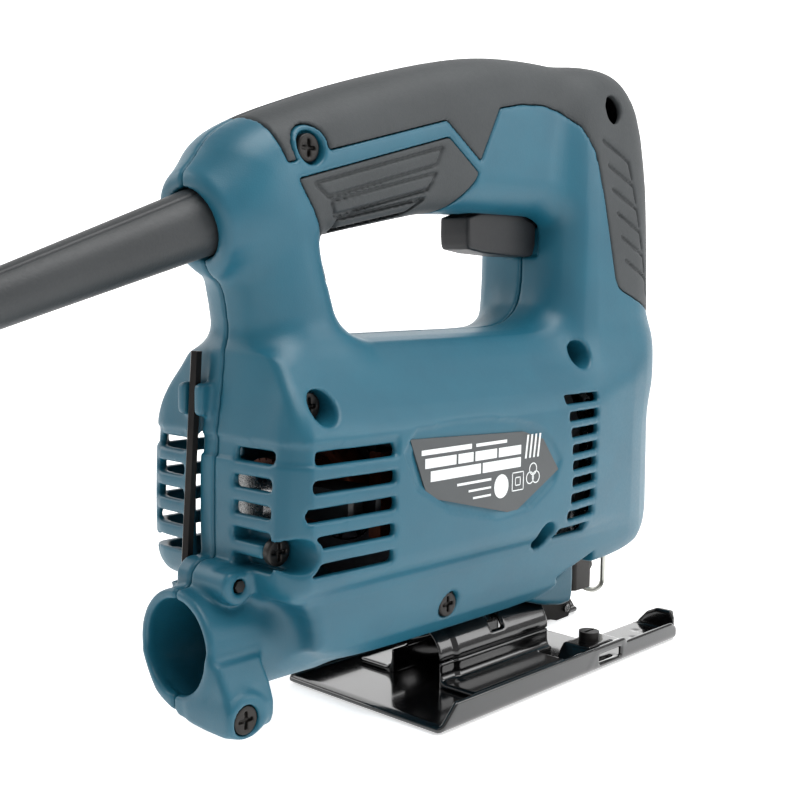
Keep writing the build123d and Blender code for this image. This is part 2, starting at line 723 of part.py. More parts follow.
with BuildPart() as wire_guard:
    with BuildLine():
        wire_path = FilletPolyline((GUARD_WIRE_X, -GUARD_WIRE_HALF, 48), (GUARD_WIRE_X, -GUARD_WIRE_HALF, 13.5),
                                   (GUARD_WIRE_X, GUARD_WIRE_HALF, 13.5), (GUARD_WIRE_X, GUARD_WIRE_HALF, 48),
                                   radius=GUARD_WIRE_HALF - 0.4)
    with BuildSketch(Plane(origin=wire_path @ 0, z_dir=wire_path % 0)):
        Circle(GUARD_WIRE_R)
    sweep(path=wire_path)
finish(wire_guard, "wire_guard")

# ---------------------------------------------------------------- controls
with BuildPart() as trigger:
    with BuildSketch(xz_at(TRIGGER_HALF)):
        with BuildLine():
            Polyline((TRIGGER_REAR, 149), (TRIGGER_REAR, 138), (TRIGGER_REAR + 1.5, 135.6), (28, 134.4),
                     (TRIGGER_FRONT, 136), (TRIGGER_FRONT, 149), close=True)
        make_face()
    extrude(amount=2 * TRIGGER_HALF)
finish(trigger, "trigger")

TRIGGER_TOP = 149.0
with BuildPart() as switch_body:
    with Locations((6, 0, 168)):
        Box(46, 22, 20)
finish(switch_body, "switch_body")

with BuildPart() as trigger_spring:
    for turn in range(5):
        z = TRIGGER_TOP + 1.0 + turn * 1.75
        with BuildSketch(Plane(origin=(8, 0, z), x_dir=(1, 0, 0), z_dir=(0, -1, 0))):
            with Locations((4, 0)):
                Circle(0.5)
        revolve(axis=Axis((8, 0, z), (0, 0, 1)))
finish(trigger_spring, "trigger_spring")

with BuildPart() as lock_button:
    with BuildSketch(xz_at(19.5)):
        with Locations((-2, 161)):
            Circle(4.3)
    extrude(amount=5.5)
    fillet(lock_button.edges().filter_by(GeomType.CIRCLE).group_by(Axis.Y)[-1], 1)
finish(lock_button, "lock_button")

with BuildPart() as capacitor:
    with Locations((-40, 0, 163)):
        Box(18, 11, 14)
    fillet(capacitor.edges().filter_by(Axis.Y), 2)
finish(capacitor, "capacitor")

# ---------------------------------------------------------------- base
BRIDGE = (35.0, 52.0)            # raised stretch that the fence bar passes under
SLOT_REAR, SLOT_HALF = 57.0, 13.0
with BuildPart() as base_plate:
    with BuildSketch(Plane.XY):
        with BuildLine():
            Polyline((BASE_REAR, -BASE_HALF + 1), (BASE_REAR + 3, -BASE_HALF), (BASE_FRONT - 4, -BASE_HALF),
                     (BASE_FRONT, -BASE_HALF + 4), (BASE_FRONT, BASE_HALF - 4), (BASE_FRONT - 4, BASE_HALF),
                     (BASE_REAR + 3, BASE_HALF), (BASE_REAR, BASE_HALF - 1), close=True)
        make_face()
    extrude(amount=SHEET)
    # side flanges with slanted rear ends
    for sign in (-1, 1):
        with BuildSketch(xz_at(sign * (BASE_HALF - SHEET / 2) + SHEET / 2)):
            with BuildLine():
                Polyline((BASE_REAR + 3, 0), (BASE_REAR + 7, FLANGE_H), (BASE_FRONT - 4, FLANGE_H),
                         (BASE_FRONT - 4, 0), close=True)
            make_face()
        extrude(amount=SHEET)
        # raised bridge of the fence guide
        with BuildSketch(xz_at(sign * 25.5 + 5.5)):
            with BuildLine():
                Polyline((BRIDGE[0] - 4, SHEET), (BRIDGE[0], 5), (BRIDGE[0], FLANGE_H), (BRIDGE[0] + 1, FLANGE_H),
                         (BRIDGE[1], FLANGE_H), (BRIDGE[1], 5), (BRIDGE[0] + 2, 5), (BRIDGE[0] - 1, SHEET), close=True)
            make_face()
        extrude(amount=11)
        # window of the fence bar through the flange
        with Locations((44.5, sign * 31, 3.4)):
            Box(13, 6, 2.8, mode=Mode.SUBTRACT)
        # curled front lip
        with BuildSketch(yz_at(BASE_FRONT - SHEET)):
            with BuildLine():
                Polyline((sign * 15, SHEET), (sign * 18.5, 7), (sign * 23, 9), (sign * 28.5, 9), (sign * 28.5, 0),
                         (sign * 15, 0), close=True)
            make_face()
        extrude(amount=SHEET)
    # blade slot, open at the front
    with Locations(((SLOT_REAR + BASE_FRONT) / 2 + 2, 0, SHEET / 2)):
        Box(BASE_FRONT - SLOT_REAR + 4, 2 * SLOT_HALF, SHEET, mode=Mode.SUBTRACT)
    # access hole under the clamping bolt
    with Locations((BOLT_X, 0, SHEET / 2)):
        Cylinder(5, SHEET, mode=Mode.SUBTRACT)
finish(base_plate, "base_plate")

HUMP_IN = HUMP_R - SHEET
with BuildPart() as bevel_hump:
    with BuildSketch(yz_at(HUMP_REAR)):
        with BuildLine():
            foot = SHEET
            outer = [(-26, foot), (-26, 2 * foot), (-HUMP_R, 2 * foot), (-HUMP_R, TILT_Z)]
            Polyline(*outer)
            ThreePointArc((-HUMP_R, TILT_Z), (0, TILT_Z + HUMP_R), (HUMP_R, TILT_Z))
            Polyline((HUMP_R, TILT_Z), (HUMP_R, 2 * foot), (26, 2 * foot), (26, foot), (HUMP_IN, foot),
                     (HUMP_IN, TILT_Z))
            ThreePointArc((HUMP_IN, TILT_Z), (0, TILT_Z + HUMP_IN), (-HUMP_IN, TILT_Z))
            Polyline((-HUMP_IN, TILT_Z), (-HUMP_IN, foot), (-26, foot))
        make_face()
    extrude(amount=HUMP_FRONT - HUMP_REAR)
    # foot flanges stop short of the fence bridges
    for sign in (-1, 1):
        with Locations((36, sign * 20, 3)):
            Box(14, 15, 3, mode=Mode.SUBTRACT)
    # cross slot that the bolt crosses as the base tilts
    with BuildSketch(yz_at(BOLT_X - 3)):
        with BuildLine():
            reach = radians(66)
            Polyline((0, TILT_Z), (-20 * sin(reach), TILT_Z + 20 * cos(reach)), (-20, 40), (20, 40),
                     (20 * sin(reach), TILT_Z + 20 * cos(reach)), close=True)
        make_face()
    extrude(amount=6, mode=Mode.SUBTRACT)
finish(bevel_hump, "bevel_hump")

with BuildPart() as fence_screws:
    for sign in (-1, 1):
        cylinder_z(FLANGE_H, FLANGE_H + 3.4, 3.4, 43.5, sign * 24)
        with BuildSketch(Plane.XY.offset(FLANGE_H + 1.6)):
            with Locations((43.5, sign * 24)):
                Rectangle(5, 1)
        extrude(amount=3, mode=Mode.SUBTRACT)
finish(fence_screws, "fence_screws")

with BuildPart() as base_bolt:
    cylinder_z(3.6, 8.0, 4.2, BOLT_X)
    cylinder_z(8.0, 29.5, 2.5, BOLT_X)
    with BuildSketch(Plane.XY.offset(3.6)):
        with Locations((BOLT_X, 0)):
            RegularPolygon(2.2, 6)
    extrude(amount=2.6, mode=Mode.SUBTRACT)
finish(base_bolt, "base_bolt")

CLAMP_R1 = HUMP_IN - 0.3
with BuildPart() as base_clamp_plate:
    with BuildSketch(yz_at(BOLT_X - 10)):
        with BuildLine():
            spread = radians(42)
            y1, z1 = CLAMP_R1 * sin(spread), TILT_Z + CLAMP_R1 * cos(spread)
            y0, z0 = 7.0 * sin(spread), TILT_Z + 7.0 * cos(spread)
            ThreePointArc((-y1, z1), (0, TILT_Z + CLAMP_R1), (y1, z1))
            Line((y1, z1), (y0, z0))
            ThreePointArc((y0, z0), (0, TILT_Z + 7.0), (-y0, z0))
            Line((-y0, z0), (-y1, z1))
        make_face()
    extrude(amount=20)
    cylinder_z(5, 30, 2.5, BOLT_X, mode=Mode.SUBTRACT)
finish(base_clamp_plate, "base_clamp_plate")

with BuildPart() as base_nut:
    with Locations((BOLT_X, 0, 28)):
        Box(8, 8, 3.4)
    cylinder_z(20, 40, 2.5, BOLT_X, mode=Mode.SUBTRACT)
finish(base_nut, "base_nut")

# ---------------------------------------------------------------- hexagon key
with BuildPart() as hex_key:
    with BuildLine():
        key_path = FilletPolyline((KEY_PIVOT[0], -14.2, KEY_PIVOT[1]), (KEY_PIVOT[0], KEY_Y, KEY_PIVOT[1]),
                                  (KEY_PIVOT[0] + 3.5, KEY_Y, KEY_PIVOT[1] + 58), radius=2.6)
    with BuildSketch(Plane(origin=key_path @ 0, x_dir=(1, 0, 0), z_dir=key_path % 0)):
        RegularPolygon(KEY_R, 6)
    sweep(path=key_path)
finish(hex_key, "hex_key")

# ---------------------------------------------------------------- cord guard, cord and plug
guard_end = GUARD_START + guard_axis * GUARD_LENGTH
with BuildPart() as cord_guard:
    with BuildSketch(guard_plane.offset(-16)):
        Circle(GUARD_R0)
    extrude(amount=16)
    with BuildSketch(guard_plane):
        Circle(GUARD_R0)
    with BuildSketch(guard_plane.offset(GUARD_LENGTH)):
        Circle(GUARD_R1)
    loft()
    with BuildSketch(guard_plane.offset(GUARD_LENGTH - 20)):
        Circle(CORD_R)
    extrude(amount=20, mode=Mode.SUBTRACT)
finish(cord_guard, "cord_guard")

STRAND = 2 * CORD_R
LAYERS = 3                              # layers of turns in the coil
TURN_R = 42.0                           # radius of the outermost turn
INNER_TURN_R = TURN_R - 3 * STRAND      # radius of the innermost turn
COIL_R = TURN_R + CORD_R + 0.4          # outside radius of the coil
COIL_X, COIL_Y = -312.0, 13.4           # centre of the coil
STUB = 26.0                             # where the cord reaches the coil, ahead of its centre
FLOOR_Z = CORD_R
PLUG_X, PLUG_Y, PLUG_Z = COIL_X + 64, COIL_Y + 28, 10.0

cord_start = guard_end - guard_axis * 20
landing_y = COIL_Y - TURN_R
CORD_POINTS = [
    cord_start,
    guard_end + guard_axis * 24,
    Vector(-232.0, -8.0, 66.0),
    Vector(-246.0, -22.0, 30.0),
    Vector(-261.0, landing_y, FLOOR_Z),
    Vector(COIL_X + STUB, landing_y, FLOOR_Z),
]
TOP_LAYER_Z = FLOOR_Z + (LAYERS - 1) * STRAND
LEAVING_POINTS = [
    Vector(COIL_X + 20, PLUG_Y, TOP_LAYER_Z),
    Vector(COIL_X + 40, PLUG_Y, TOP_LAYER_Z),
    Vector(PLUG_X - 6, PLUG_Y, PLUG_Z),
    Vector(PLUG_X, PLUG_Y, PLUG_Z),
]
LEAVING_BEND = 10.0


def corner_radii(points):
    """Arc radius for each corner: 0.45 of the shorter run over the tangent of half the turn."""
    radii = []
    for before, corner, after in zip(points, points[1:], points[2:]):
        turn = (corner - before).get_angle(after - corner)
        shorter = min((corner - before).length, (after - corner).length)
        radii.append(0.45 * shorter / tan(radians(turn) / 2))
    return radii


CORD_RADII = corner_radii(CORD_POINTS)
with BuildPart() as cord_tube:
    with BuildLine():
        cord_path = FilletPolyline(*CORD_POINTS, radius=CORD_RADII)
    with BuildSketch(Plane(origin=cord_path @ 0, z_dir=cord_path % 0)):
        Circle(CORD_R)
    sweep(path=cord_path)
finish(cord_tube, "cord_tube")

with BuildPart() as cord_coil:
    with BuildSketch(Plane.XY):
        with Locations((COIL_X, COIL_Y)):
            Circle(COIL_R)
            Circle(INNER_TURN_R - CORD_R, mode=Mode.SUBTRACT)
    extrude(amount=LAYERS * STRAND)
    with BuildSketch(Plane.YZ.offset(COIL_X + 5)):
        with Locations((landing_y, FLOOR_Z)):
            Circle(CORD_R - 0.1)
    extrude(amount=STUB - 5)
    with BuildLine():
        leaving_path = FilletPolyline(*LEAVING_POINTS, radius=LEAVING_BEND)
    with BuildSketch(Plane(origin=leaving_path @ 0, z_dir=leaving_path % 0)):
        Circle(CORD_R - 0.1)
    sweep(path=leaving_path)
finish(cord_coil, "cord_coil")


def plug_plane(ahead):
    """Plane square to the plug, so far ahead of the place where the cord enters it."""
    return Plane.YZ.offset(PLUG_X + ahead)


with BuildPart() as plug_body:
    with BuildSketch(plug_plane(0)):
        with Locations((PLUG_Y, PLUG_Z)):
            Circle(5.0)
    with BuildSketch(plug_plane(16)):
        with Locations((PLUG_Y, PLUG_Z)):
            Circle(7.0)
    loft()
    with BuildSketch(plug_plane(16)):
        with Locations((PLUG_Y, PLUG_Z)):
            RectangleRounded(26, 15, 5)
    extrude(amount=26)
    with BuildSketch(plug_plane(42)):
        with Locations((PLUG_Y, PLUG_Z)):
            RectangleRounded(35, 18, 8)
    extrude(amount=8)
finish(plug_body, "plug_body")

with BuildPart() as plug_pins:
    for sign in (-1, 1):
        with BuildSketch(plug_plane(50)):
            with Locations((PLUG_Y + sign * 9.5, PLUG_Z)):
                Circle(2.4)
        extrude(amount=19)
    fillet(plug_pins.edges().filter_by(GeomType.CIRCLE).group_by(Axis.X)[-1], 1.2)
finish(plug_pins, "plug_pins")

# The cord's anchorage inside the housing.
with BuildPart() as cord_clamp:
    with Locations((-64, 0, 150)):
        Box(9, 20, 5)
finish(cord_clamp, "cord_clamp")

with BuildPart() as cord_clamp_screws:
    for sign in (-1, 1):
        cylinder_z(152.5, 154.5, 2.4, -64, sign * 7)
finish(cord_clamp_screws, "cord_clamp_screws")

with BuildPart() as lead_wires:
    for sign in (-1, 1):
        wire = Vector(-17, sign * 8.5, 168) - Vector(-59.5, sign * 8.5, 150)
        with BuildSketch(Plane(origin=(-59.0, sign * 8.5, 150.2), z_dir=wire)):
            Circle(0.9)
        extrude(amount=wire.length - 1.2)
finish(lead_wires, "lead_wires")
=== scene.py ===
import math

import bpy
import numpy as np
from mathutils import Matrix, Vector


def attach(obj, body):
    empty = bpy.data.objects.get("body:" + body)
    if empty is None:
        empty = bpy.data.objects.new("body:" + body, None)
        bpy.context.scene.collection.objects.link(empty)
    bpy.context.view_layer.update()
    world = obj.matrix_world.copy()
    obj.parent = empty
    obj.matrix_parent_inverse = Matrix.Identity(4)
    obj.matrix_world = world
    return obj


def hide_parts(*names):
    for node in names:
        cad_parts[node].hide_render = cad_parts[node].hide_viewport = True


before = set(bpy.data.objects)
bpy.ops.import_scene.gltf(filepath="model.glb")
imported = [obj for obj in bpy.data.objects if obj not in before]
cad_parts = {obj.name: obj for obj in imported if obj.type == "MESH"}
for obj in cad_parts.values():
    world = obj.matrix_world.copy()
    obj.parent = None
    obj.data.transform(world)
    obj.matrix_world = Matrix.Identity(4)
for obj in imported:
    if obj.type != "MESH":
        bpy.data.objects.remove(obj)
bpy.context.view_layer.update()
MM = 0.001
scene = bpy.context.scene

# ------------------------------------------------------------------ camera, light and floor
AZIMUTH, ELEVATION, ROLL = (math.radians(a) for a in (-47.05, 5.72, 0.78))
back = Vector((math.sin(AZIMUTH) * math.cos(ELEVATION), -math.cos(AZIMUTH) * math.cos(ELEVATION), math.sin(ELEVATION)))
level = Vector((math.cos(AZIMUTH), math.sin(AZIMUTH), 0))
upward = back.cross(level)
right = math.cos(ROLL) * level + math.sin(ROLL) * upward
up = math.cos(ROLL) * upward - math.sin(ROLL) * level
camera = bpy.data.objects.new("camera", bpy.data.cameras.new("camera"))
camera.data.sensor_width, camera.data.lens = 36.0, 52.97
camera.data.clip_start, camera.data.clip_end = 0.01, 20
place = Vector((-25.49, 0, 90.82)) + back * 353.64
camera.matrix_world = Matrix.Translation(place * MM) @ Matrix((right, up, back)).transposed().to_4x4()
scene.collection.objects.link(camera)
scene.camera = camera
scene.view_settings.view_transform = "Standard"

world = bpy.data.worlds.new("studio")
world.use_nodes = True
world.node_tree.nodes["Background"].inputs["Color"].default_value = (1, 1, 1, 1)
world.node_tree.nodes["Background"].inputs["Strength"].default_value = 0.5
scene.world = world


def area_light(name, at, target, size, power):
    lamp = bpy.data.lights.new(name, "AREA")
    lamp.shape, lamp.size, lamp.size_y, lamp.energy = "RECTANGLE", size[0], size[1], power
    obj = bpy.data.objects.new(name, lamp)
    obj.location = at
    obj.rotation_mode = "QUATERNION"
    obj.rotation_quaternion = (Vector(target) - Vector(at)).to_track_quat("-Z", "Y")
    scene.collection.objects.link(obj)


area_light("softbox_top", (0.05, -0.30, 0.95), (0, 0, 0.08), (0.9, 0.6), 8.0)
area_light("softbox_right", (0.75, -0.85, 0.55), (0, 0, 0.1), (0.6, 0.6), 4.0)
area_light("softbox_back", (-0.5, 0.9, 0.6), (0, 0, 0.1), (0.6, 0.6), 3.0)


# ------------------------------------------------------------------ materials
def srgb(r, g, b):
    return [((c / 255 + 0.055) / 1.055) ** 2.4 if c > 10 else c / 255 / 12.92 for c in (r, g, b)] + [1]


def material(name, colour, rough, second=None, metallic=0.0, grain=900.0, bump=0.08, coat=0.0, rough_spread=0.06,
             fine=2600.0):
    """A moulded or metal finish: mottled colour, uneven roughness and a fine grain in the surface."""
    m = bpy.data.materials.new(name)
    m.use_nodes = True
    nodes, links = m.node_tree.nodes, m.node_tree.links
    shader = nodes["Principled BSDF"]
    shader.inputs["Metallic"].default_value = metallic
    shader.inputs["Coat Weight"].default_value = coat
    shader.inputs["Coat Roughness"].default_value = 0.08
    where = nodes.new("ShaderNodeTexCoord")

    def noise(scale, detail):
        n = nodes.new("ShaderNodeTexNoise")
        n.inputs["Scale"].default_value = scale
        n.inputs["Detail"].default_value = detail
        links.new(where.outputs["Object"], n.inputs["Vector"])
        return n.outputs["Fac"]

    mix = nodes.new("ShaderNodeMix")
    mix.data_type = "RGBA"
    mix.inputs["A"].default_value = colour
    mix.inputs["B"].default_value = second or [c * 0.86 for c in colour[:3]] + [1]
    spread = nodes.new("ShaderNodeMapRange")
    spread.inputs["From Min"].default_value, spread.inputs["From Max"].default_value = 0.35, 0.65
    links.new(noise(55.0, 3.0), spread.inputs["Value"])
    links.new(spread.outputs["Result"], mix.inputs["Factor"])
    links.new(mix.outputs["Result"], shader.inputs["Base Color"])
    uneven = nodes.new("ShaderNodeMapRange")
    uneven.inputs["To Min"].default_value = rough - rough_spread
    uneven.inputs["To Max"].default_value = rough + rough_spread
    links.new(noise(grain, 2.0), uneven.inputs["Value"])
    links.new(uneven.outputs["Result"], shader.inputs["Roughness"])
    relief = nodes.new("ShaderNodeBump")
    relief.inputs["Strength"].default_value = bump
    relief.inputs["Distance"].default_value = 0.0004
    links.new(noise(fine, 2.0), relief.inputs["Height"])
    links.new(relief.outputs["Normal"], shader.inputs["Normal"])
    return m


TEAL = material("teal_housing", srgb(20, 88, 108), 0.42, srgb(18, 83, 103), bump=0.10)
RUBBER = material("grey_elastomer", srgb(52, 56, 58), 0.62, srgb(47, 51, 53), bump=0.22, fine=1800)
BLACK = material("black_plastic", srgb(22, 23, 26), 0.46, srgb(18, 19, 22), bump=0.12)
PAINT = material("black_enamel", srgb(8, 8, 9), 0.14, srgb(12, 12, 13), bump=0.03, coat=0.6, rough_spread=0.04,
                 grain=300)
ZINC = material("zinc_plate", srgb(196, 196, 190), 0.32, srgb(168, 168, 160), metallic=1.0, bump=0.06)
STEEL = material("steel", srgb(188, 188, 186), 0.26, srgb(160, 160, 160), metallic=1.0, bump=0.05)
BLACKENED = material("blackened_steel", srgb(48, 46, 44), 0.38, srgb(34, 32, 32), metallic=0.7, bump=0.10)
CORE = material("lamination_steel", srgb(70, 70, 74), 0.42, srgb(52, 52, 56), metallic=0.9, bump=0.2)
COPPER = material("enamelled_copper", srgb(104, 48, 22), 0.34, srgb(84, 36, 16), metallic=0.6, bump=0.3)
CARBON = material("carbon", srgb(30, 30, 32), 0.6, srgb(40, 40, 42), bump=0.2)
LABEL = material("label_grey", srgb(62, 66, 68), 0.36, srgb(58, 62, 64), bump=0.02)
PRINT = material("label_print", srgb(232, 236, 236), 0.4, srgb(222, 226, 226), bump=0.02)
SHEATH = material("cord_sheath", srgb(44, 46, 48), 0.5, srgb(38, 40, 42), bump=0.18, fine=1500)
GUARD = material("cord_guard_vinyl", srgb(44, 47, 49), 0.5, srgb(39, 42, 44), bump=0.18, fine=1500)
ALU = material("cast_aluminium", srgb(168, 170, 172), 0.44, srgb(146, 148, 150), metallic=0.9, bump=0.3)
FLOOR = material("paper_floor", srgb(250, 250, 250), 0.55, srgb(247, 247, 247), bump=0.0)
FLOOR.node_tree.nodes["Principled BSDF"].inputs["Emission Color"].default_value = (1, 1, 1, 1)
FLOOR.node_tree.nodes["Principled BSDF"].inputs["Emission Strength"].default_value = 0.55
BACKDROP = material("paper_backdrop", srgb(250, 250, 250), 0.55, srgb(247, 247, 247), bump=0.0)
BACKDROP.node_tree.nodes["Principled BSDF"].inputs["Emission Color"].default_value = (1, 1, 1, 1)
BACKDROP.node_tree.nodes["Principled BSDF"].inputs["Emission Strength"].default_value = 0.9

FINISH = {
    "shell_screws": BLACKENED, "nameplate": LABEL, "stator_core": CORE, "field_coils": COPPER,
    "rear_bearing_outer": STEEL, "front_bearing_outer": STEEL, "rear_bearing_inner": STEEL,
    "front_bearing_inner": STEEL, "baffle_plate": BLACK, "brush_holders": BLACK, "carbon_brushes": CARBON,
    "gear_case": ALU, "gear_case_screws": STEEL, "gear_shaft": STEEL, "lower_bush": STEEL, "upper_bush": STEEL,
    "bush_carriers": BLACK, "dust_seal": CARBON, "roller_holder": BLACKENED, "roller_pin": STEEL,
    "wire_guard": ZINC, "switch_body": BLACK, "trigger_spring": STEEL, "capacitor": PAINT, "lead_wires": COPPER,
    "cord_clamp": BLACK, "cord_clamp_screws": STEEL, "armature_shaft": STEEL, "armature_core": CORE,
    "armature_winding": COPPER, "commutator": COPPER, "fan": BLACK, "drive_gear": STEEL, "crank_pin": STEEL,
    "plunger": STEEL, "blade_clamp": BLACKENED, "blade_clamp_screw": BLACKENED, "trigger": BLACK,
    "lock_button": BLACK, "guide_roller": BLACKENED, "base_bolt": BLACKENED, "base_nut": STEEL,
    "base_clamp_plate": STEEL, "fence_screws": BLACKENED, "hex_key": BLACKENED, "plug_body": BLACK,
    "plug_pins": STEEL,
}
for name, finish in FINISH.items():
    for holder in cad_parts[name].material_slots:
        holder.material = finish


# ------------------------------------------------------------------ shapes drawn as distance fields, in mm
def chaikin(points, rounds=2):
    """Cuts the corners of a closed outline."""
    p = np.array(points, float)
    for _ in range(rounds):
        q = np.roll(p, -1, axis=0)
        p = np.stack([0.75 * p + 0.25 * q, 0.25 * p + 0.75 * q], axis=1).reshape(-1, 2)
    return p


def outline(points, u, v):
    """Signed distance to a closed outline, negative inside."""
    points = np.asarray(points, float)
    best = np.full(np.broadcast(u, v).shape, 1e9)
    inside = np.zeros(best.shape, bool)
    for (ax, ay), (bx, by) in zip(points, np.roll(points, -1, axis=0)):
        ex, ey = bx - ax, by - ay
        t = np.clip(((u - ax) * ex + (v - ay) * ey) / max(ex * ex + ey * ey, 1e-9), 0, 1)
        best = np.minimum(best, (u - ax - t * ex) ** 2 + (v - ay - t * ey) ** 2)
        if ay != by:
            inside ^= ((ay > v) != (by > v)) & (u < ex * (v - ay) / ey + ax)
    return (np.sqrt(best) * np.where(inside, -1, 1)).astype(np.float32)


def line_distance(points, u, v):
    """Distance to an open run of points."""
    best = np.full(np.broadcast(u, v).shape, 1e9)
    for (ax, ay), (bx, by) in zip(points, points[1:]):
        ex, ey = bx - ax, by - ay
        t = np.clip(((u - ax) * ex + (v - ay) * ey) / (ex * ex + ey * ey), 0, 1)
        best = np.minimum(best, (u - ax - t * ex) ** 2 + (v - ay - t * ey) ** 2)
    return np.sqrt(best).astype(np.float32)


def both(a, b, k=0.0):
    """Intersection, with its edge rounded over about k."""
    if not k:
        return np.maximum(a, b)
    h = np.maximum(k - np.abs(a - b), 0) / k
    return np.maximum(a, b) + h * h * (k / 4)


def joined(a, b, k=0.0):
    return -both(-a, -b, k)


def cut(a, b, k=0.0):
    return both(a, -b, k)


def slot_field(u, v, centre, size, radius):
    """Rounded rectangle in a plane."""
    du, dv = np.abs(u - centre[0]) - size[0] / 2 + radius, np.abs(v - centre[1]) - size[1] / 2 + radius
    outside = np.sqrt(np.maximum(du, 0) ** 2 + np.maximum(dv, 0) ** 2)
    return outside + np.minimum(np.maximum(du, dv), 0) - radius


def surface(field, origin, step, relax=2):
    """Surface net of a field sampled on a grid: points and quads."""
    sign = field < 0
    nx, ny, nz = field.shape
    corners = [(i, j, k) for i in (0, 1) for j in (0, 1) for k in (0, 1)]
    total = np.zeros((nx - 1, ny - 1, nz - 1), np.int8)
    for i, j, k in corners:
        total += sign[i:nx - 1 + i, j:ny - 1 + j, k:nz - 1 + k]
    ci, cj, ck = np.nonzero((total > 0) & (total < 8))
    index = np.full(total.shape, -1, np.int32)
    index[ci, cj, ck] = np.arange(len(ci))
    values = {c: field[ci + c[0], cj + c[1], ck + c[2]] for c in corners}
    place, count = np.zeros((len(ci), 3)), np.zeros(len(ci))
    for a in corners:
        for axis in range(3):
            if a[axis]:
                continue
            b = tuple(1 if n == axis else a[n] for n in range(3))
            va, vb = values[a], values[b]
            crosses = (va < 0) != (vb < 0)
            t = np.where(crosses, va / np.where(crosses, va - vb, 1), 0)
            for n in range(3):
                place[:, n] += np.where(crosses, a[n] + (t if n == axis else 0), 0)
            count += crosses
    points = place / count[:, None] + np.stack([ci, cj, ck], 1)
    quads = []
    for axis in range(3):
        lo = [slice(1, n - 1) for n in (nx, ny, nz)]
        hi = list(lo)
        lo[axis], hi[axis] = slice(0, field.shape[axis] - 1), slice(1, field.shape[axis])
        a, b = sign[tuple(lo)], sign[tuple(hi)]
        e = np.stack(np.nonzero(a != b), 1)
        outward = a[tuple(e.T)]
        for n in range(3):
            if n != axis:
                e[:, n] += 1
        p, q = [n for n in range(3) if n != axis]
        ring = []
        for dp, dq in ((-1, -1), (0, -1), (0, 0), (-1, 0)):
            cell = e.copy()
            cell[:, p] += dp
            cell[:, q] += dq
            ring.append(index[cell[:, 0], cell[:, 1], cell[:, 2]])
        ring = np.stack(ring, 1)
        flip = outward if axis != 1 else ~outward
        ring[~flip] = ring[~flip][:, ::-1]
        quads.append(ring)
    quads = np.concatenate(quads)
    quads = quads[(quads >= 0).all(1)]
    for _ in range(relax):
        total, weight = np.zeros_like(points), np.zeros(len(points))
        for n in range(4):
            a, b = quads[:, n], quads[:, (n + 1) % 4]
            for axis in range(3):
                total[:, axis] += np.bincount(a, points[b, axis], len(points))
                total[:, axis] += np.bincount(b, points[a, axis], len(points))
            weight += np.bincount(a, minlength=len(points)) + np.bincount(b, minlength=len(points))
        points = points * 0.5 + total / np.maximum(weight, 1)[:, None] * 0.5
    return points * step + origin, quads


def piece(name, points, faces, finish, body, smooth=True):
    """A mesh object that rides on a body; points in mm."""
    mesh = bpy.data.meshes.new(name)
    points = np.asarray(points, float) * MM
    if isinstance(faces, np.ndarray):
        mesh.vertices.add(len(points))
        mesh.vertices.foreach_set("co", points.ravel())
        mesh.loops.add(faces.size)
        mesh.loops.foreach_set("vertex_index", faces.ravel().astype(np.int32))
        mesh.polygons.add(len(faces))
        mesh.polygons.foreach_set("loop_start", np.arange(0, faces.size, faces.shape[1], dtype=np.int32))
        mesh.update(calc_edges=True)
    else:
        mesh.from_pydata([tuple(p) for p in points], [], faces)
    mesh.validate()
    mesh.polygons.foreach_set("use_smooth", [smooth] * len(mesh.polygons))
    mesh.materials.append(finish)
    obj = bpy.data.objects.new(name, mesh)
    scene.collection.objects.link(obj)
    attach(obj, body)
    return obj


def grid(lo, hi, step):
    """Coordinates of a sampling grid, shaped so that they broadcast."""
    axes = [np.arange(a, b + step, step, dtype=np.float32) for a, b in zip(lo, hi)]
    return [axes[0][:, None, None], axes[1][None, :, None], axes[2][None, None, :]]


def net(field, axes, step, relax=2):
    return surface(field, np.array([float(a.ravel()[0]) for a in axes]), step, relax)


# ------------------------------------------------------------------ housing
HANDLE = [
    (-94, 130), (-99.5, 136), (-102.5, 145), (-102, 153), (-99, 161.5), (-88, 168), (-66, 176.2), (-47, 182.5),
    (-27, 188.3), (-11, 192.5), (4, 195.4), (20, 197), (38, 197.6), (56, 197), (70, 194), (80, 180), (80, 110),
    (80, 60), (-89, 60), (-89.5, 101),
]
OPENING = [
    (-69, 137), (-66, 138), (-41, 143), (-20, 147), (29, 147.5), (34.5, 147.5), (35.5, 140), (35.5, 122), (26, 112.5),
    (16, 106.5), (-10, 105), (-47, 104), (-57, 103.5), (-60, 110), (-66, 127),
]
NOSE_SIDE = [
    (36, 90), (35.5, 150), (38, 168), (44, 184), (54, 193), (66, 195.6), (76, 192), (83, 184), (91.5, 162),
    (97.5, 139), (101.5, 117), (104.5, 90),
]
NOSE_PLAN = [(35, -24), (60, -23), (74, -20), (86, -15.5), (98, -8), (104, 0)]
NOSE_SECTION = [(0, 90), (23.5, 90), (23, 125), (22, 150), (19.5, 172), (17, 186), (10, 196), (0, 199)]
BODY_SIDE = [
    (-94, 46), (-97.5, 58), (-96.5, 82), (-92.5, 97), (-89, 112), (104, 114), (107, 90), (108.5, 68),
    (105.5, 53), (97, 43.7), (83, 37), (60, 33.5), (30, 33), (24, 22), (-78, 22), (-84, 44),
]
BODY_PLAN = [
    (-97.8, -20), (-96.5, -26), (-88, -33.8), (14, -32.8), (45, -28.5), (70, -25), (86, -19.5), (97, -12.5),
    (105, -6.5), (109, 0),
]
BODY_SECTION = [
    (0, 21.7), (14, 21.7), (21.5, 26), (25.5, 38), (27, 46), (31.5, 50), (33.8, 55), (33.8, 85), (27, 96),
    (18, 107), (14, 110.5), (0, 112),
]
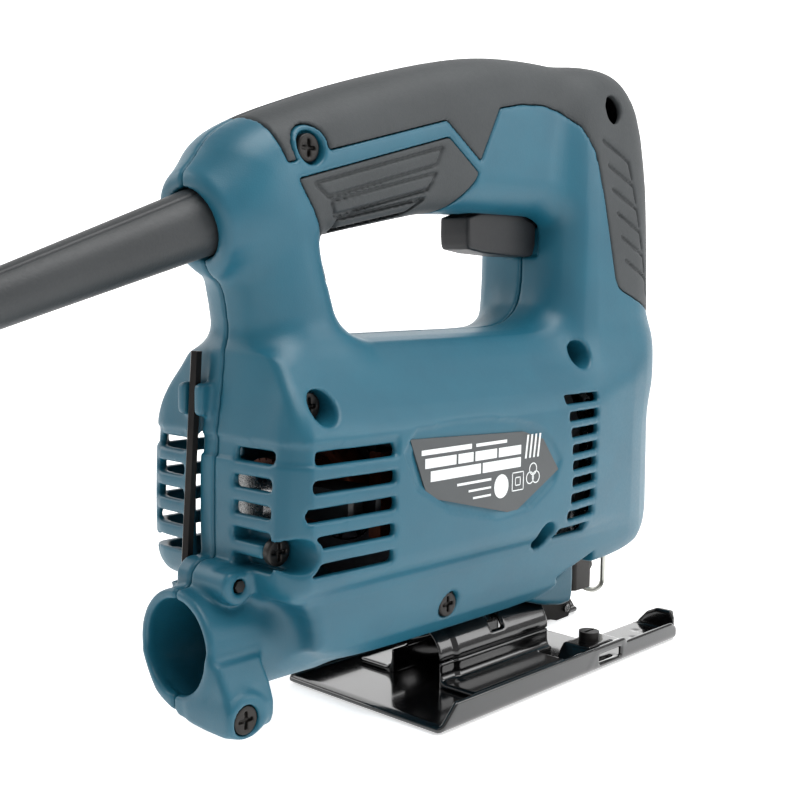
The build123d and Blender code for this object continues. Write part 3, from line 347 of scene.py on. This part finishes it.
CORNER_U = ((40, 86, 116, 139, 160, 176, 188, 194, 200), (63, 61.5, 59.8, 57.3, 54.6, 51.1, 47.2, 44.2, 40))
SCREWS = [
    (-76.5, 159.8, -12.2), (54.6, 183.6, -12.2), (-83.0, 94.5, -20.0), (34.9, 103.5, -12.0), (-92.0, 58.5, -19.0),
    (8.8, 48.9, -18.0), (-29.1, 33.5, -21.0), (-103.0, 18.2, -19.5),
]
TOP_ZONE = [
    (-90, 215), (-88.5, 168), (-86.5, 161), (-84.5, 155.5), (-81.5, 156), (-70, 159.8), (-24.6, 172.2),
    (-9, 162), (-0.5, 178.3), (10, 180.6), (21, 181.6), (30, 180.5), (38, 176.8), (43.5, 169), (46.2, 160),
    (55.5, 128.4), (57.5, 125.5), (60.5, 124), (82, 117.4), (120, 105), (120, 215),
]
PALM_ZONE = [
    (-81, 151.6), (-23.4, 167.5), (-9.8, 158.5), (-11.5, 155.5), (-19.4, 148.1), (-26, 143.5), (-60, 134),
    (-63, 122), (-69.5, 126.5), (-71.5, 138.4),
]
NOZZLE_Z, NOZZLE_R, NOZZLE_BORE = 32.9, 15.0, 12.4
GUARD_START = np.array([-101.0, 0.0, 140.0])
SLOPE = math.radians(19.3)
GUARD_AXIS = np.array([-math.cos(SLOPE), 0.0, -math.sin(SLOPE)])
WALL = 2.6
KEY_X, KEY_Z, KEY_Y = -98.5, 49.5, 8      # pivot of the key and its plane
KEY_GROOVE = 2.0                          # half the groove of the key's long arm
FOOT_SCREW_X, DEEP_SCREW_X = -103.0, -29.1
SLOT_R, POST_WALL = 4.4, 1.3              # recess of a screw, and the wall of its post
FOOT_SLOT_R = 3.9
SIDE_VENTS, FRONT_VENTS = 5, 9
REAR_VENTS = ((-14.8, 14.5), (19.5, 13))  # y and width of the two columns at the rear
REAR_VENT_Z, REAR_VENT_PITCH, REAR_VENT_H = 82.3, 6.8, 3.2


def mirrored(half):
    """A closed outline from its half at positive first coordinates."""
    return [(a, b) for a, b in half] + [(-a, b) for a, b in reversed(half)]


def mirrored_y(half):
    """A closed outline from its half on one side of the second coordinate's mirror line."""
    return [(a, b) for a, b in half] + [(a, -b) for a, b in reversed(half)]


def housing_form(x, y, z):
    """The closed outer form of the housing."""
    side = np.abs(y)
    ring_out = outline(chaikin(HANDLE), x[:, 0], z[0])[:, None, :]
    hole = outline(chaikin(OPENING, 3), x[:, 0], z[0])[:, None, :]
    rear = np.clip((x + 60) / -30, 0, 1)
    half = 16.4 - 0.6 * rear * np.clip((150 - z) / 40, 0, 1)
    loop = both(both(ring_out, side - half, 17.0), -hole, 12.0)
    nose = both(outline(chaikin(NOSE_SIDE), x[:, 0], z[0])[:, None, :],
                outline(chaikin(mirrored_y(NOSE_PLAN)), x[:, :, 0], y[:, :, 0])[:, :, None], 9.0)
    nose = both(nose, outline(chaikin(mirrored(NOSE_SECTION)), y[0], z[0])[None], 9.0)
    corner = 0.52 * x + 0.854 * side - np.interp(z, *CORNER_U).astype(np.float32)
    nose = both(nose, corner, 7.0)
    top = joined(loop, nose, 16.0)
    body = both(outline(chaikin(BODY_SIDE), x[:, 0], z[0])[:, None, :],
                outline(chaikin(mirrored_y(BODY_PLAN), 1), x[:, :, 0], y[:, :, 0])[:, :, None], 6.0)
    body = both(body, outline(chaikin(mirrored(BODY_SECTION), 1), y[0], z[0])[None], 3.0)
    body = both(body, corner, 7.0)
    form = joined(top, body, 9.0)
    # dust nozzle, its neck and its foot
    radius = np.sqrt(y ** 2 + (z - NOZZLE_Z) ** 2)
    form = joined(form, both(radius - NOZZLE_R, both(-108.3 - x, x + 66), 1.2), 7.0)
    foot = outline(chaikin([(-15, 34), (-22, 23), (-22, 15.8), (-18.5, 13.7), (5, 15.5), (15, 34)], 1),
                   y[0], z[0])[None]
    foot = both(foot, both(-108.3 - x, x + 93.5, 1.5), 1.6)
    form = joined(form, foot, 2.5)
    boss = np.sqrt((x + 102.5) ** 2 + (z - 18.8) ** 2) - 5.6
    form = joined(form, both(boss, both(-22.2 - y, y + 6), 1.5), 2.5)
    # barrel of the key, clip, ring of the cord guard and chin
    barrel = np.sqrt((x - KEY_X) ** 2 + (z - KEY_Z) ** 2) - 5.0
    form = joined(form, both(barrel, np.abs(y + 2.2) - 12.0, 1.5), 1.8)
    clip = both(slot_field(x, z, (-93, 95), (9.4, 8.6), 1.5), np.abs(y - KEY_Y) - 5.2, 1.2)
    form = joined(form, clip, 1.6)
    along = (x - GUARD_START[0]) * GUARD_AXIS[0] + (z - GUARD_START[2]) * GUARD_AXIS[2]
    across = np.sqrt(((x - GUARD_START[0]) * -GUARD_AXIS[2] + (z - GUARD_START[2]) * GUARD_AXIS[0]) ** 2 + y ** 2)
    collar = both(across - 12.6, both(-16 - along, along - 0.3), 3.0)
    form = joined(form, collar, 8.0)
    form = cut(form, both(across - 9.2, -9 - along), 1.0)
    chin = outline(chaikin([(20, 24), (30, 19.2), (49, 15.6), (51, 20), (50, 42), (20, 42)], 1),
                   x[:, 0], z[0])[:, None, :]
    form = joined(form, both(chin, side - 12.5, 2.0), 3.0)
    return form, radius


def rear_vent(y, z, centre, width, row):
    return slot_field(y, z, (centre, REAR_VENT_Z - REAR_VENT_PITCH * row), (width, REAR_VENT_H), 1.0)


def trigger_duct(x, y, z):
    """Room for the trigger in the handle."""
    return both(slot_field(x, z, (15.4, 147.3), (37.4, 24.6), 1.0), np.abs(y) - 6.5)


def housing_cuts(form, x, y, z):
    """Vents, recesses and grooves that show on the outside."""
    side = np.abs(y)
    # shallow band round the rear and the pocket of the label
    band = both(both(80.9 - z, z - 85.8, 0.5), x + 60, 0.5)
    pocket = outline(chaikin([(-61, 86.5), (-28, 88.5), (-5, 86), (7.5, 80.5), (16, 69.5), (-8, 56), (-51, 66.5)], 1),
                     x[:, 0], z[0])[:, None, :]
    shallow = joined(band, both(pocket, y + 20), 1.0)
    form = cut(form, both(shallow, -(form + 0.7), 0.4), 0.5)
    bed = outline(chaikin([(-57, 85.6), (-6, 83.8), (5, 80.6), (13.5, 69.5), (-10, 57.6), (-49.5, 67.4)], 1),
                  x[:, 0], z[0])[:, None, :]
    form = cut(form, both(bed, y + 31.4), 0.3)
    # vents
    for i in range(SIDE_VENTS):
        cut_side = both(slot_field(x, z, (-74.6 - 0.8 * i, 82.6 - 7.0 * i), (27.5 + 1.2 * i, 3.3), 1.0), 20 - side)
        form = cut(form, cut_side, 0.6)
        for centre, width in REAR_VENTS:
            form = cut(form, both(rear_vent(y, z, centre, width, i), x + 84), 0.6)
    for i in range(FRONT_VENTS):
        x0 = (17.5, 18.6, 19.6, 20.2, 20.6, 20.6, 20.2, 18.6, 15.0)[i]
        x1 = (37.6, 37.4, 37.2, 37.0, 36.8, 36.6, 36.4, 35.4, 32.4)[i]
        front = slot_field(x, z, ((x0 + x1) / 2, 90.3 - 5.22 * i), (x1 - x0, 2.9), 0.8)
        form = cut(form, both(front, 18 - side), 0.5)
    # groove of the key and its barrel's bore
    form = cut(form, both(np.abs(y - KEY_Y) - KEY_GROOVE, both(47.5 - z, both(z - 111, x + 92.5))), 0.4)
    form = cut(form, both(np.sqrt((x - KEY_X) ** 2 + (z - KEY_Z) ** 2) - 1.9, -30 - y))
    # triangular hollow in the chin
    hollow = outline([(25, 31.5), (43, 37.5), (46.5, 30), (34, 24.5)], x[:, 0], z[0])[:, None, :]
    form = cut(form, both(hollow, 10.8 - side), 1.0)
    return form


def housing_wall(x, y, z):
    form, radius = housing_form(x, y, z)
    wall = cut(housing_cuts(form, x, y, z), form + WALL)
    for sx, sz, head in SCREWS:
        post = np.sqrt((x - sx) ** 2 + (z - sz) ** 2)
        bore = SLOT_R if sz > 40 and sx != FOOT_SCREW_X else FOOT_SLOT_R
        if sx not in (FOOT_SCREW_X, DEEP_SCREW_X):
            wall = joined(wall, both(both(post - bore - POST_WALL, form + 0.2), y), 0.4)
        wall = cut(wall, both(post - bore, y - head), 0.7)
    for i in (3, 4):
        wall = cut(wall, both(rear_vent(y, z, *REAR_VENTS[0], i), x + 90), 0.6)
    # open mouth of the nozzle, and room for what moves
    wall = cut(wall, both(radius - NOZZLE_BORE, x + 70), 0.8)
    wall = cut(wall, trigger_duct(x, y, z), 0.4)
    hump = both(np.sqrt(y ** 2 + (z - 10) ** 2) - 12.2, both(-30 - x, x - 39.5))
    wall = cut(wall, hump)
    wall = cut(wall, both(both(np.abs(x - 68) - 10.2, np.abs(y) - 6.8), both(28 - z, z - 48)))
    wall = cut(wall, both(both(np.abs(x - 6.5) - 8, np.abs(y) - 3), both(17 - z, z - 30)))
    wall = cut(wall, both(both(np.abs(x - 79) - 1.2, np.abs(y) - 7), z - 50))
    wall = cut(wall, both(np.sqrt((x + 2) ** 2 + (z - 161) ** 2) - 4.7, 13 - y), 0.5)
    return wall, form


step = 0.62
axes = grid((-111, -36, 10), (111, 36, 200), step)
wall, form = housing_wall(*axes)
x, y, z = axes
top_zone = outline(TOP_ZONE, x[:, 0], z[0])[:, None, :]
palm_zone = outline(PALM_ZONE, x[:, 0], z[0])[:, None, :]
top_zone = cut(top_zone, np.sqrt((x + 76.5) ** 2 + (z - 159.8) ** 2) - 6.0, 0.5)
zones = joined(top_zone, palm_zone)
shell = cut(wall, zones - 0.14, 0.35)
PARTING = 0.16
for half, sign in (("right", 1), ("left", -1)):
    points, quads = net(both(shell, sign * y + PARTING, 0.5), axes, step)
    obj = piece(f"housing_{half}", points, quads, TEAL, "housing")
    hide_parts(f"{half}_shell")
del shell

# ------------------------------------------------------------------ soft grips
gripped = cut(form, form + 2.4)
for sx, sz, head in SCREWS[:2]:
    gripped = cut(gripped, both(np.sqrt((x - sx) ** 2 + (z - sz) ** 2) - 4.6, y), 0.7)
gripped = cut(gripped, trigger_duct(x, y, z))
chevrons = None
for i in range(6):
    dx, dz = 2.78 * i, -7.7 * i
    run = line_distance([(47.3 + dx, 173.0 + dz), (62.9 + dx, 167.2 + dz), (65.0 + dx, 161.6 + dz)], x[:, 0], z[0])
    chevrons = run if chevrons is None else np.minimum(chevrons, run)
chevrons = chevrons[:, None, :] - 0.55
top_grip = cut(gripped, both(chevrons, -(form + 1.3)), 0.15)
top_grip = both(top_grip, top_zone + 0.06, 0.45)
PANELS = [
    [(-75.5, 150.9), (-26.2, 164.4), (-28.9, 159.2), (-70.8, 147.8)],
    [(-69.6, 146.8), (-28.8, 157.1), (-31.8, 152.2), (-67.3, 143.2)],
    [(-65.7, 142.4), (-32.2, 149.8), (-37.5, 145.4), (-65.3, 139.4)],
]
palm_grip = gripped
for panel in PANELS:
    edge = np.abs(outline(panel, x[:, 0], z[0])) - 0.45
    palm_grip = cut(palm_grip, both(edge[:, None, :], -(form + 1.1)), 0.15)
palm_grip = both(palm_grip, palm_zone + 0.06, 0.45)
for half, sign in (("right", 1), ("left", -1)):
    for zone_name, field in (("top_grip", top_grip), ("palm_grip", palm_grip)):
        points, quads = net(both(field, sign * y + PARTING, 0.5), axes, step)
        obj = piece(f"{zone_name}_{half}_skin", points, quads, RUBBER, "housing")
        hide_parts(f"{zone_name}_{half}")
del wall, form, gripped, top_grip, palm_grip, zones

# ------------------------------------------------------------------ housing screws
points, faces = [], []
for sx, sz, seat in SCREWS:
    axes = grid((sx - 4.2, seat - 3.0, sz - 4.2), (sx + 4.2, seat + 0.6, sz + 4.2), 0.3)
    x, y, z = axes
    field = both(np.sqrt((x - sx) ** 2 + (z - sz) ** 2) - 3.7, np.abs(y - seat + 1.3) - 1.2, 0.5)
    cross = joined(both(np.abs(x - sx) - 0.5, np.abs(z - sz) - 2.3), both(np.abs(z - sz) - 0.5, np.abs(x - sx) - 2.3))
    more, quads = net(cut(field, both(cross, y - seat + 1.3), 0.2), axes, 0.3)
    faces += [[int(v) + len(points) for v in quad] for quad in quads]
    points += [tuple(float(c) for c in p) for p in more]
obj = piece("housing_screws", points, faces, BLACKENED, "housing")
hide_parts("shell_screws")

# ------------------------------------------------------------------ trigger
axes = grid((-3, -7, 133), (34, 7, 150), 0.4)
x, y, z = axes
profile = outline(chaikin([(-2, 148.9), (-2, 138.4), (-0.6, 135.7), (28, 134.45), (32.7, 135.6), (32.7, 148.9)], 1),
                  x[:, 0], z[0])[:, None, :]
field = both(profile, np.abs(y) - 5.95, 1.1)
points, quads = net(field, axes, 0.4)
obj = piece("trigger_body", points, quads, BLACK, "trigger")
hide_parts("trigger")

# ------------------------------------------------------------------ base
axes = grid((-44, -34, -1.5), (93, 34, 11), 0.5)
x, y, z = axes
side = np.abs(y)
pan = outline(mirrored([(0, 0), (31.2, 0), (32.5, 1.2), (32.5, 8), (30.7, 8), (30.7, 2.0), (0, 2.0)]), y[0], z[0])[None]
reach = outline([(-42, -1), (-42, 1.6), (-40.5, 2.1), (-34.5, 7.9), (53, 7.9), (54.5, 6.4), (84, 6.4), (88, 4),
                 (91.5, 3), (91.5, -1)], x[:, 0], z[0])[:, None, :]
field = both(pan, reach, 0.8)
corners = outline(mirrored_y([(-43, 0), (-42, -31), (-40, -32.5), (87, -32.5), (91.5, -28), (91.5, 0)]),
                  x[:, :, 0], y[:, :, 0])[:, :, None]
field = both(field, corners, 0.8)
lip = outline([(14.5, 0), (15, 3), (18.6, 7.1), (22.5, 9.0), (28.5, 9.0), (30, 6.5), (30, 0)], side[0], z[0])[None]
lip = both(lip, both(88.6 - x, x - 91.4), 0.8)
roll = both(np.sqrt((x - 87.4) ** 2 + (z - 2.6) ** 2) - 2.4, np.abs(side - 22) - 7.5, 0.6)
field = joined(field, both(lip, corners), 1.0)
field = cut(field, both(slot_field(x, y, (76.5, 0), (38, 26), 3), z - 4), 0.5)
bridge = outline([(30.5, 1.5), (35.8, 7.1), (53.2, 7.1), (53.2, 5.2), (37, 5.2), (33, 1.5)],
                 x[:, 0], z[0])[:, None, :]
field = joined(field, both(bridge, np.abs(side - 25.5) - 6.6, 0.6), 0.6)
field = cut(field, both(slot_field(x, z, (44.4, 3.6), (13.2, 3.2), 0.5), 29 - side), 0.4)
field = cut(field, both(slot_field(x, side, (43, 29.2), (12.5, 1.0), 0.4), z - 9), 0.2)
field = cut(field, both(np.sqrt((x - 11.5) ** 2 + y ** 2) - 5.2, z - 4), 0.4)
for px, py in ((-6, 18), (26, 18.5), (72, 24), (80, 20)):
    field = cut(field, np.sqrt((x - px) ** 2 + (side - py) ** 2 + (z - 4.0) ** 2) - 2.35, 0.6)
points, quads = net(field, axes, 0.5, 1)
obj = piece("base_pressing", points, quads, PAINT, "base")
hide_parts("base_plate")

TILT_Z, HUMP_OUTER, HUMP_INNER = 10, 11.4, 9.6    # axis of the saddle and the radii of its sheet
REAR_STEP = 0.9                                   # the saddle is this much narrower at its rear end
FOOT_HALF = 24.5
axes = grid((-19, -28, 1), (41, 28, 23), 0.5)
x, y, z = axes
side = np.abs(y)
radius = np.sqrt(y ** 2 + (z - TILT_Z) ** 2)
step_down = np.clip((x + 9) / -1.5, 0, 1)
tube = np.maximum(radius - HUMP_OUTER + REAR_STEP * step_down, -1)
legs = both(side - HUMP_OUTER + REAR_STEP * step_down, z - TILT_Z)
arch = joined(both(tube, TILT_Z - z), legs)
hollow = joined(both(radius - HUMP_INNER, TILT_Z - z), both(side - HUMP_INNER, z - TILT_Z))
feet = both(side - 26, both(z - 3.9, 2 - z), 0.6)
field = cut(joined(both(arch, 2 - z), feet, 3.0), hollow, 0.4)
field = both(field, both(-17 - x, x - 37.8), 0.7)
field = both(field, side - FOOT_HALF)
field = cut(field, both(both(30.0 - x, 13.5 - side), z - 4.5), 0.4)
field = cut(field, both(both(np.abs(x - 11.5) - 3.2, side - 18.4), np.maximum(14.6 - z, -1)), 0.4)
points, quads = net(field, axes, 0.5, 1)
obj = piece("bevel_pressing", points, quads, PAINT, "base")
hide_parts("bevel_hump")

# ------------------------------------------------------------------ print on the label
def panel_print(name, shapes, finish):
    """Flat print on the label: outlines in x, z, a hair in front of it."""
    points, faces = [], []
    for shape in shapes:
        start = len(points)
        points += [(px, -31.97, pz) for px, pz in shape] + [(px, -31.88, pz) for px, pz in shape]
        n = len(shape)
        faces.append([start + i for i in range(n)])
        faces.append([start + n + i for i in reversed(range(n))])
        faces += [[start + i, start + n + i, start + n + (i + 1) % n, start + (i + 1) % n] for i in range(n)]
    obj = piece(name, points, faces, finish, "housing", smooth=False)


def bar(x0, z0, x1, z1):
    return [(x0, z0), (x1, z0), (x1, z1), (x0, z1)]


def disc(cx, cz, rx, rz, n=28):
    return [(cx + rx * math.cos(2 * math.pi * i / n), cz + rz * math.sin(2 * math.pi * i / n)) for i in range(n)]


prints = [bar(-51, 79.9, -30, 81.3), bar(-28, 80.2, -14, 81.1), bar(-49.5, 76.2, -36.6, 78.9),
          bar(-35.7, 76.2, -29.2, 78.9), bar(-28.3, 76.2, -18.6, 78.9), bar(-17.7, 76.2, -7.2, 78.9),
          bar(-47.2, 72.4, -25.8, 75.3), bar(-24.9, 72.4, -7.2, 75.3), bar(-36, 69.9, -21, 70.6),
          bar(-31, 67.6, -21, 68.2), bar(-29, 65.4, -21, 66.0)]
for i in range(4):
    prints.append([(-5.2 + 2.0 * i, 74.6), (-4.4 + 2.0 * i, 74.6), (-3.4 + 2.0 * i, 81.6), (-4.2 + 2.0 * i, 81.6)])
prints.append(disc(-16.2, 67.6, 3.3, 3.5))
panel_print("label_white", prints, PRINT)
frames = []
for cx, cz, half in ((-8.4, 68.2, 2.8), (-8.4, 68.2, 1.3)):
    t = 0.28
    frames += [bar(cx - half, cz - half, cx + half, cz - half + t), bar(cx - half, cz + half - t, cx + half, cz + half),
               bar(cx - half, cz - half, cx - half + t, cz + half), bar(cx + half - t, cz - half, cx + half, cz + half)]
for i in range(3):
    angle = math.radians(90 + 120 * i)
    cx, cz = -1.0 + 1.7 * math.cos(angle), 69.4 + 1.7 * math.sin(angle)
    ring = disc(cx, cz, 1.9, 1.9, 20)
    inner = disc(cx, cz, 1.6, 1.6, 20)
    frames += [[ring[k], ring[(k + 1) % 20], inner[(k + 1) % 20], inner[k]] for k in range(20)]
panel_print("label_marks", frames, PRINT)

# ------------------------------------------------------------------ cord guard, cord and plug
def frame_at(axis):
    side_axis = np.cross((0, 0, 1.0), axis)
    side_axis /= np.linalg.norm(side_axis)
    return side_axis, np.cross(axis, side_axis)


GUARD_LENGTH, GUARD_R0, GUARD_R1, CORD_R = 95.0, 8.7, 4.9, 3.5
GUARD_ROOT = -8                  # the guard keeps its full radius up to here, inside the collar
SEAMS, SEAM_DEPTH, SEAM_WIDTH = (62, 242), 0.32, 2.2    # mould seams, in degrees round the guard
guard_end = GUARD_START + GUARD_AXIS * GUARD_LENGTH
across_y, across_up = frame_at(GUARD_AXIS)
profile = [(-15, GUARD_R0)]
for t in np.linspace(0, 1, 60):
    along = GUARD_ROOT + (GUARD_LENGTH + 6.5) * t
    profile.append((along, GUARD_R0 + (GUARD_R1 - GUARD_R0) * max(0, along / GUARD_LENGTH)))
profile += [(94.2, GUARD_R1 - 0.25), (94.8, GUARD_R1 - 0.9), (94.8, 3.3)]
around = 144
points, faces = [], []
for along, r in profile:
    for k in range(around):
        angle = 2 * math.pi * k / around
        away = [(math.degrees(angle) - seam + 180) % 360 - 180 for seam in SEAMS]
        dent = sum(SEAM_DEPTH * math.exp(-(off / SEAM_WIDTH) ** 2) for off in away)
        rr = r - dent * (r > 4)
        points.append(GUARD_START + GUARD_AXIS * along
                      + (across_y * math.cos(angle) + across_up * math.sin(angle)) * rr)
n = len(profile)
for i in range(n - 1):
    for k in range(around):
        a, b = i * around + k, i * around + (k + 1) % around
        faces.append([a, b, b + around, a + around])
faces.append(list(reversed(range(around))))
faces.append([(n - 1) * around + k for k in range(around)])
guard = piece("cord_guard_sleeve", points, faces, GUARD, "housing")
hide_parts("cord_guard")

COIL_X, COIL_Y, STRAND, TURN_R, STUB = -312.0, 13.4, 7.0, 42.0, 26.0
PLUG_X, PLUG_Y, PLUG_Z = COIL_X + 64, COIL_Y + 28, 10.0
LANDING_Y, BOTTOM, TOP = COIL_Y - TURN_R, CORD_R, CORD_R + 2 * STRAND
cord_start = GUARD_START + GUARD_AXIS * (GUARD_LENGTH - 20)
route = [cord_start, guard_end + GUARD_AXIS * 24, (-232.0, -8.0, 66.0), (-246.0, -22.0, 30.0),
         (-261.0, LANDING_Y, BOTTOM), (COIL_X + STUB, LANDING_Y, BOTTOM)]
PER_TURN = 24
widen = 1 / (0.75 + 0.25 * math.cos(2 * math.pi / PER_TURN))
for i in range(int(8.5 * PER_TURN) + 1):
    turn = i / PER_TURN
    angle = 1.5 * math.pi - 2 * math.pi * turn
    r = float(np.interp(turn, (0, 3, 3.5, 6.5, 7, 8.5), (TURN_R, 21, 21, TURN_R, TURN_R, 28))) * widen
    height = float(np.interp(turn, (0, 3, 3.5, 6.5, 7, 8.5), (0, 0, 1, 1, 2, 2))) * STRAND + BOTTOM
    route.append((COIL_X + r * math.cos(angle), COIL_Y + r * math.sin(angle), height))
route += [(COIL_X + 20, PLUG_Y, TOP), (COIL_X + 40, PLUG_Y, TOP), (PLUG_X - 6, PLUG_Y, PLUG_Z),
          (PLUG_X + 10, PLUG_Y, PLUG_Z)]
line = bpy.data.curves.new("mains_cord", "CURVE")
line.dimensions = "3D"
line.bevel_depth, line.bevel_resolution, line.resolution_u = CORD_R * MM, 6, 6
spline = line.splines.new("NURBS")
spline.points.add(len(route) - 1)
for point, at in zip(spline.points, route):
    point.co = (*(float(c) * MM for c in at), 1)
spline.order_u = 3
spline.use_endpoint_u = True
line.materials.append(SHEATH)
cord = bpy.data.objects.new("mains_cord", line)
scene.collection.objects.link(cord)
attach(cord, "housing")
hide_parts("cord_tube", "cord_coil")

# ------------------------------------------------------------------ floor and backdrop
def stage_sheet(name, corners, finish):
    sheet = bpy.data.meshes.new(name)
    sheet.from_pydata(corners, [], [(0, 1, 2, 3)])
    sheet.materials.append(finish)
    obj = bpy.data.objects.new(name, sheet)
    scene.collection.objects.link(obj)


stage_sheet("floor", [(-5, -5, -0.0005), (5, -5, -0.0005), (5, 5, -0.0005), (-5, 5, -0.0005)], FLOOR)
far = place * MM - back * 4.0
backdrop_corners = [(far.x + level.x * a, far.y + level.y * a, b) for a, b in ((-4, -0.2), (4, -0.2), (4, 3), (-4, 3))]
stage_sheet("backdrop", backdrop_corners, BACKDROP)
